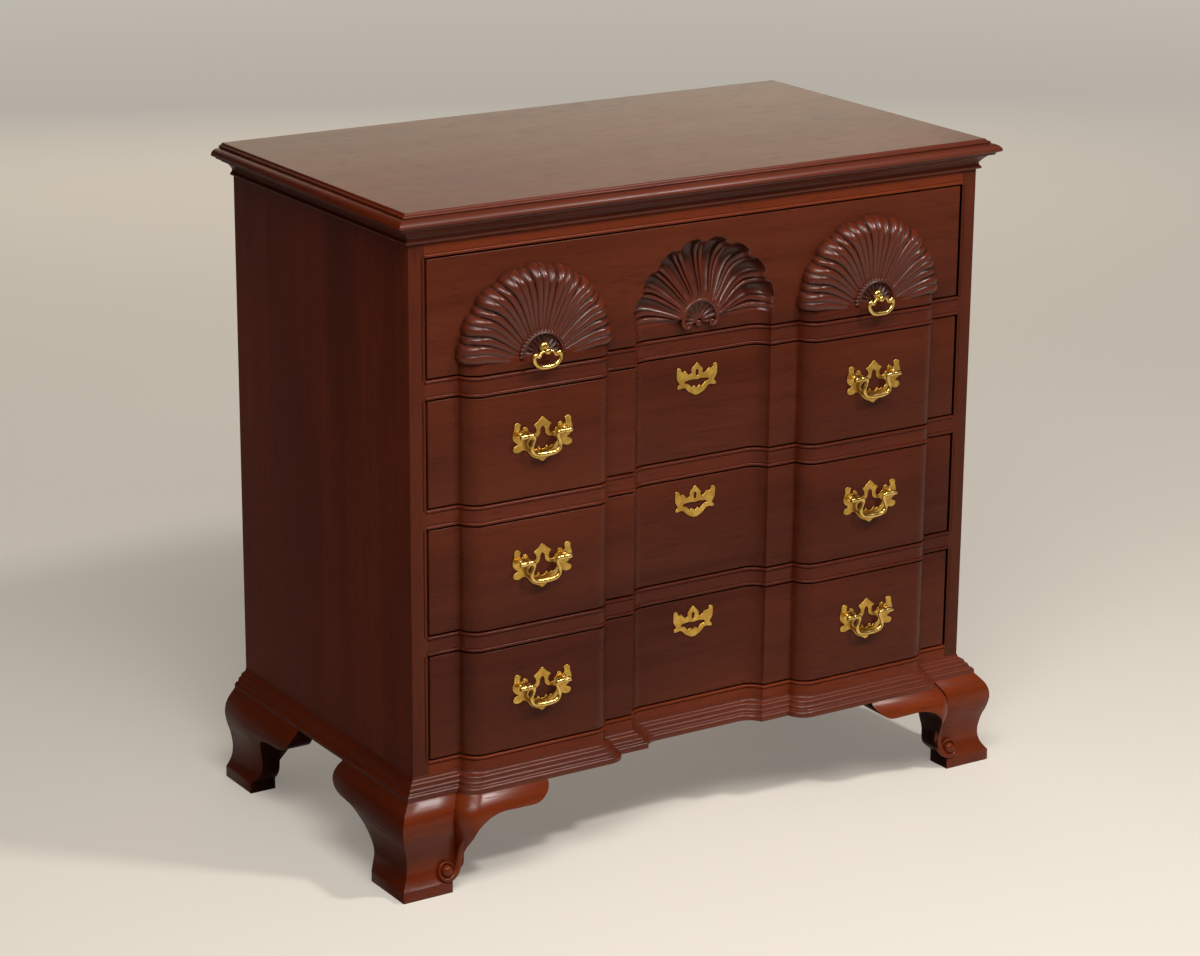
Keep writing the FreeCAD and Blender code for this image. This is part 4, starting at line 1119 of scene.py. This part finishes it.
def shell_height(angle, radius, rim):
    """How far a standing shell stands in front of the drawer's flat, and its painted shade, darkest in the
    grooves and at the rim.
    """
    share = (radius - HUB_RADIUS) / (rim - HUB_RADIUS)
    to_rim = rim - radius
    fall = dome(1 - min(to_rim / SHELL_END_ROUND, 1.0))
    crest = 20.5 + 4.0 * smooth(share, 0.05, 0.65) - 3.2 * smooth(share, 0.7, 1.0)
    across = lobe_place(angle)
    width = LOBE_WIDTH + 0.03 * smooth(share, 0.55, 0.95)
    depth = 1.8 + 4.0 * smooth(share, 0.1, 0.9)
    if across < width:
        t = across / width
        seam = smooth(share, 0.05, 0.4) * math.exp(-(t / 0.13) ** 2)
        if t > RIB_CREST:
            cross = -depth * rounded(t - RIB_CREST, 0.53)
        else:
            cross = -(0.6 + 1.7 * smooth(share, 0.1, 0.6)) * rounded(RIB_CREST - t, 0.49)
        line = math.exp(-((across - width) / 0.030) ** 2)
    else:
        place = (across - width) / (0.5 - width)
        seam = 0.0
        cross = -depth + depth * 0.74 * (1 - rounded(1 - place, 1.02))
        line = math.exp(-((across - width) / 0.050) ** 2)
    # painted shade: dark lines in the grooves beside each lobe and down its middle seam, and more at the
    # rim's edge
    dark = max(0.92 * line * smooth(share, 0.0, 0.2), 0.6 * seam) * smooth(to_rim, 0.0, 3.0)
    return max((crest + cross) * fall, 0.0), dark + 0.5 * (1 - smooth(to_rim, 0.0, 2.2)) * (1 - dark)


def standing_shell(centre):
    """Convex shell over a block: S-curved lobes with smaller ribs between them, round a dished hub."""
    widest = LOWEST_LOBE + LOBE_STEP * LOBE_WIDTH
    count = 440
    rows = []
    for i in range(count + 1):
        angle = -widest + 2 * widest * i / count
        rim = shell_rim(angle)
        row = []
        for j in range(61):
            radius = HUB_RADIUS - 3.0 + (rim - HUB_RADIUS + 3.0) * (1 - (1 - j / 60) ** 1.6)
            share = max((radius - HUB_RADIUS) / (rim - HUB_RADIUS), 0.0)
            droop = 8.0 * (1 - share) * math.sin(math.radians(angle)) ** 2
            x, z = polar(SHELL_BASE - 1.5 - droop, bent(angle, share), radius)
            height, dark = shell_height(angle, radius, rim)
            row.append((x, 0.02 - height, z, dark))
        rows.append(row)
    shape = Carving().carved(rows)
    for row in (rows[0], rows[-1]):
        shape.sheet([[point[:3] for point in row], [(x, 0.0, z) for x, _, z, _ in row]])
    return shape.moved(x=centre)


def shell_hub(centre):
    """Thin raised rim with a beaded outer slope, and a fluted dish inside it that carries the ring pull."""
    widest = 91.0
    profile = [(3.2, -16.0), (2.6, -20.6), (1.2, -22.8), (0.2, -23.6), (-0.8, -24.9), (-1.6, -25.0),
               (-2.3, -24.4), (-2.7, -23.2), (-3.0, -19.4)]
    rows = []
    for i in range(241):
        angle = -widest + 2 * widest * i / 240
        row = []
        for out, y in profile:
            bead = 1.3 * abs(math.cos(math.radians(angle) * 20.0)) if out > 0.5 else 0.0
            x, z = polar(HUB_HEIGHT, angle, HUB_RADIUS + out + bead)
            # the fourth value is painted shade: darker between the beads of the rim, at its inner edge and
            # in the fluted dish
            row.append((x, y - bead * 0.6, z, 0.7 - 0.5 * bead if out > 0 else 0.0))
        row[-1] = row[-1][:3] + (0.8,)
        for j in range(1, 11):
            radius = (HUB_RADIUS - 3.0) * (1 - j / 10.0)
            x, z = polar(HUB_HEIGHT, angle, radius)
            wave = 1.2 * math.cos(math.radians(angle) * 20.0) * smooth(radius, 8.0, 16.0)
            row.append((x, -18.6 + wave - 2.6 * (1 - radius / HUB_RADIUS), z, 0.45 + 0.3 * wave))
        rows.append(row)
    boss = turned([(6.6, 6.0), (6.4, 0.2), (6.0, 0.0), (0.0, 0.0)], (0.0, -HUB_FRONT, RING_HEIGHT + 3.0))
    return Carving().carved(rows).join(boss).moved(x=centre)


def shells():
    """The two standing shells and their hubs."""
    for hand, centre in HANDS:
        name = "shell_" + hand
        show(standing_shell(centre).mesh("shell"), name + "_carved", carved_wood, "drawer_1",
             [name], crease=62.0)
        show(shell_hub(centre).mesh("hub"), name + "_hub", carved_wood, "drawer_1", crease=50.0)


# ---- brasses -------------------------------------------------------------------------------------
def closed_line(half):
    """A smooth closed outline through a half outline and its mirror image."""
    return through(half + [(-x, z) for x, z in half[-2:0:-1]], 5, closed=True)


def cast_plate(outlines, name):
    """A thin cast plate with rounded edges: the first outline is its edge, the others are pierced."""
    curve = bpy.data.curves.new(name, "CURVE")
    curve.dimensions = "2D"
    curve.fill_mode = "BOTH"
    curve.extrude = (PLATE_THICKNESS / 2 - PLATE_ROUND) * MM
    curve.bevel_depth = PLATE_ROUND * MM
    curve.bevel_resolution = 3
    curve.offset = -CAST_LOSS * MM
    for outline in outlines:
        spline = curve.splines.new("POLY")
        spline.points.add(len(outline) - 1)
        for place, (x, z) in zip(spline.points, outline):
            place.co = (x * MM, z * MM, 0.0, 1.0)
        spline.use_cyclic_u = True
    holder = bpy.data.objects.new(name, curve)
    shape = bpy.data.meshes.new_from_object(holder)
    bpy.data.objects.remove(holder)
    shape.transform(Matrix(((1, 0, 0, 0), (0, 0, -1, 0), (0, 1, 0, 0), (0, 0, 0, 1))))
    return shape


def placed(shape, x, y, z):
    """A copy of a mesh, moved to a point."""
    twin = shape.copy()
    twin.transform(Matrix.Translation(at(x, y, z)))
    return twin


def merged(shapes, name):
    """Several meshes as one."""
    work = bmesh.new()
    for shape in shapes:
        work.from_mesh(shape)
    result = bpy.data.meshes.new(name)
    work.to_mesh(result)
    work.free()
    return result


def slot_line():
    """Outline of the key slot."""
    bottom, top = KEY_SLOT
    return arc((0.0, top), (2.2, 2.0), 0, 180, 8) + arc((0.0, bottom), (1.9, 2.0), 180, 360, 8)


def pull_post(x):
    """Post: a thin collar on the plate, a neck, a plain barrel eye, and a shank with its nut behind."""
    post = turned([(4.4, 0.0), (4.3, -0.6), (3.2, -1.0), (2.3, -1.6), (2.1, -3.0), (2.1, -8.0)],
                  (x, PLATE_FACE - PLATE_THICKNESS, 0.0), steps=24)
    barrel = [(2.1, -5.3), (2.8, -5.2), (3.2, -4.7), (3.4, -3.4), (3.45, 0.0), (3.4, 3.4), (3.2, 4.7),
              (2.8, 5.2), (2.1, 5.3)]
    post.join(turned(barrel, (x, EYE_Y, 0.0), axis="x", steps=24))
    post.join(turned([(2.5, -4.0), (2.5, 44.0), (5.5, 44.0)], (x, -8.0, 0.0), steps=16))
    nut = [(0.0, 4.0), (5.2, 4.0), (5.5, 3.6), (5.5, 0.0), (2.5, 0.0)]
    return post.join(turned(nut, (x, FRONT_BACK, 0.0), steps=6))


def swelled_bar(half, y, per, steps):
    """A cast bar of changing thickness through (x, z, radius) points and their mirror image."""
    line = through(half + [(-x, z, radius) for x, z, radius in half[-2::-1]], per)
    return wire([(x, y, z) for x, z, _ in line], [radius for _, _, radius in line], steps)


def pulls():
    """Pierced willow plates with bails on the blocks and a key plate in the recess."""
    willow = cast_plate([closed_line(WILLOW), closed_line(WILLOW_PIERCING)], "willow")
    key = cast_plate([closed_line(KEY_PLATE), closed_line(KEY_PLATE_PIERCING), slot_line()], "key")
    half_plate = PLATE_THICKNESS / 2
    for number in (2, 3, 4):
        middle = sum(DRAWERS[number]) / 2
        height = middle + PULL_ABOVE_MIDDLE
        body = "drawer_{}".format(number)
        plates = [placed(willow, centre, PLATE_FACE - half_plate, height) for _, centre in HANDS]
        plates = merged(plates, "plates")
        show_brass(plates, body + "_willow_plates", plate_brass, body, body + "_backplates")
        posts = Carving()
        for _, centre in HANDS:
            for x in (-POST_HALF_SPACING, POST_HALF_SPACING):
                posts.join(pull_post(x).moved(x=centre, z=height))
        show_brass(posts.mesh("posts"), body + "_posts", bail_brass, body, body + "_pull_posts")
        plate = placed(key, 0.0, RECESS_DEPTH - half_plate, middle + KEY_PLATE_ABOVE_MIDDLE)
        show_brass(plate, body + "_key_plate", plate_brass, body, body + "_escutcheon")
        for hand, centre in HANDS:
            name = "{}_bail_{}".format(body, hand)
            bail = swelled_bar(BAIL, EYE_Y, 5, 16).moved(x=centre, z=height)
            show_brass(bail.mesh("bail"), name + "_cast", bail_brass, name, name)


def ring_pulls():
    """Small ring pulls on the shells' hubs: a rose, a ball head and a cast ring of drooping outline."""
    rose = [(7.2, 0.8), (7.2, -0.6), (6.9, -1.8), (5.9, -3.2), (4.2, -4.3), (2.0, -4.9), (0.0, -5.0)]
    head = [(4.6, 0.8), (4.6, -3.0), (3.0, -4.0), (2.8, -4.8), (3.4, -5.6), (4.2, -6.6), (4.4, -8.0),
            (4.2, -9.4), (3.3, -10.7), (1.8, -11.5), (0.0, -11.8)]
    shank = [(2.0, 0.0), (2.0, 56.0), (5.0, 56.0), (5.0, 59.5), (0.0, 59.5)]
    studs = Carving()
    for _, centre in HANDS:
        stud = turned(head, (0.0, -HUB_FRONT, 0.0), steps=28)
        stud.join(turned(shank, (0.0, -20.0, 0.0), steps=12))
        stud.join(turned(rose, (0.0, -HUB_FRONT, 3.8), steps=28))
        studs.join(stud.moved(x=centre, z=RING_HEIGHT))
    show_brass(studs.mesh("studs"), "ring_pull_studs", bail_brass, "drawer_1", "ring_posts")
    for hand, centre in HANDS:
        name = "ring_bail_" + hand
        ring = swelled_bar(RING_BAIL, RING_Y, 4, 14).moved(x=centre, z=RING_HEIGHT)
        show_brass(ring.mesh("ring"), name + "_cast", bail_brass, name, name)


# ---- what stays as the frame has it --------------------------------------------------------------
def dress_plain_parts():
    """Give every part that stays in view from the frame its own wood."""
    for name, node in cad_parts.items():
        if node.hide_render:
            continue
        wood = plain_y
        if name in ("back_panel", "bottom_board") or name.endswith("_back"):
            wood = plain_x
        # glue blocks and rear brackets are painted almost black, as painted shade for their place under the
        # case
        if name in ("glue_blocks", "rear_foot_back_brackets"):
            wood = shade_dark_z
        node.data.materials.clear()
        node.data.materials.append(wood)


# ---- floor, light and camera ---------------------------------------------------------------------
def floor():
    """Pale floor: it takes the light and shadow, and looks a little paler to the eye and in reflections."""
    finish = Finish("pale_floor", **{"Roughness": 0.9, "Specular IOR Level": 0.1, "Emission Strength": 1.0})
    cloud = finish.noise(finish.coordinates(), 0.7, 2.0)
    away = finish.node("VectorMath", {"operation": "LENGTH"}, "Value", {0: finish.coordinates()})
    far = ((away - 1.5) * 0.16).clamped()
    camera_ray, glossy_ray, transmission_ray = [
        finish.node("LightPath", {}, name, {})
        for name in ("Is Camera Ray", "Is Glossy Ray", "Is Transmission Ray")]
    seen = (camera_ray + glossy_ray + transmission_ray).clamped()
    glow = finish.mix(far, (0.19, 0.178, 0.16), (0.46, 0.43, 0.385))
    finish.wear(Base_Color=finish.mix(cloud, (0.60, 0.555, 0.49), (0.64, 0.595, 0.53)),
                Emission_Color=finish.mix(seen, (0.0, 0.0, 0.0), glow))
    reach = 40.0
    shape = bpy.data.meshes.new("floor")
    corners = [(-reach, -reach, 0), (reach, -reach, 0), (reach, reach, 0), (-reach, reach, 0)]
    shape.from_pydata(corners, [], [(0, 1, 2, 3)])
    shape.materials.append(finish.material)
    ground = bpy.data.objects.new("floor", shape)
    bpy.context.scene.collection.objects.link(ground)
    ground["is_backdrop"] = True


CAMERA_AZIMUTH = -32.584
CAMERA_ELEVATION = 17.252
CAMERA_ROLL = 0.424
CAMERA_LENS = 101.3
CAMERA_PLACE = Vector((-2.3501, -3.6437, 1.7656))


def outward(azimuth, elevation):
    """Unit vector from the chest, at angles in degrees round from its front and up from the floor."""
    a, e = math.radians(azimuth), math.radians(elevation)
    return Vector((math.sin(a) * math.cos(e), -math.cos(a) * math.cos(e), math.sin(e)))


def softbox(name, azimuth, elevation, distance, size, power, colour=(1.0, 0.97, 0.93)):
    """An area lamp, given as (width, height), that looks at the middle of the chest."""
    back = outward(azimuth, elevation)
    lamp = bpy.data.lights.new(name, "AREA")
    lamp.shape = "RECTANGLE"
    lamp.size, lamp.size_y = size
    lamp.energy = power
    lamp.color = colour
    holder = bpy.data.objects.new(name, lamp)
    holder.location = Vector((0.0, 0.0, HEIGHT * MM / 2)) + back * distance
    holder.rotation_euler = back.to_track_quat("Z", "Y").to_euler()
    bpy.context.scene.collection.objects.link(holder)


def light():
    """Four soft lamps and a dim, warm room."""
    softbox("key_light", 34.0, 47.0, 3.2, (0.3, 0.3), 52.0)
    softbox("side_light", -56.0, 38.0, 2.5, (0.8, 0.8), 4.0)
    softbox("fill_light", -28.0, 50.0, 2.4, (1.2, 1.0), 41.0)
    softbox("back_light", 155.0, 17.0, 4.5, (3.4, 2.0), 24.0, colour=(1.0, 0.84, 0.62))
    world = bpy.data.worlds.new("studio")
    world.use_nodes = True
    background = world.node_tree.nodes["Background"]
    background.inputs["Color"].default_value = (1.0, 0.965, 0.91, 1.0)
    background.inputs["Strength"].default_value = 0.13
    bpy.context.scene.world = world


def camera():
    """A long lens to the left of the chest's front, looking a little down."""
    back = outward(CAMERA_AZIMUTH, CAMERA_ELEVATION)
    turn = math.radians(CAMERA_AZIMUTH)
    right = Vector((math.cos(turn), math.sin(turn), 0.0))
    up = back.cross(right)
    roll = math.radians(CAMERA_ROLL)
    tilted_right = right * math.cos(roll) + up * math.sin(roll)
    tilted_up = up * math.cos(roll) - right * math.sin(roll)
    lens = bpy.data.cameras.new("camera")
    lens.lens = CAMERA_LENS
    lens.sensor_width = 36.0
    lens.clip_start = 0.1
    lens.clip_end = 200.0
    view = bpy.data.objects.new("camera", lens)
    place = Matrix((tilted_right, tilted_up, back)).transposed().to_4x4()
    place.translation = CAMERA_PLACE
    view.matrix_world = place
    bpy.context.scene.collection.objects.link(view)
    bpy.context.scene.camera = view


def main():
    top_board()
    top_moulding()
    base_moulding()
    side_panels()
    rails()
    stile_beads()
    feet()
    top_drawer_front()
    shells()
    for number in (2, 3, 4):
        drawer_front(number)
    pulls()
    ring_pulls()
    dress_plain_parts()
    floor()
    light()
    camera()
    bpy.context.scene.view_settings.view_transform = "Standard"


main()
low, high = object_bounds()
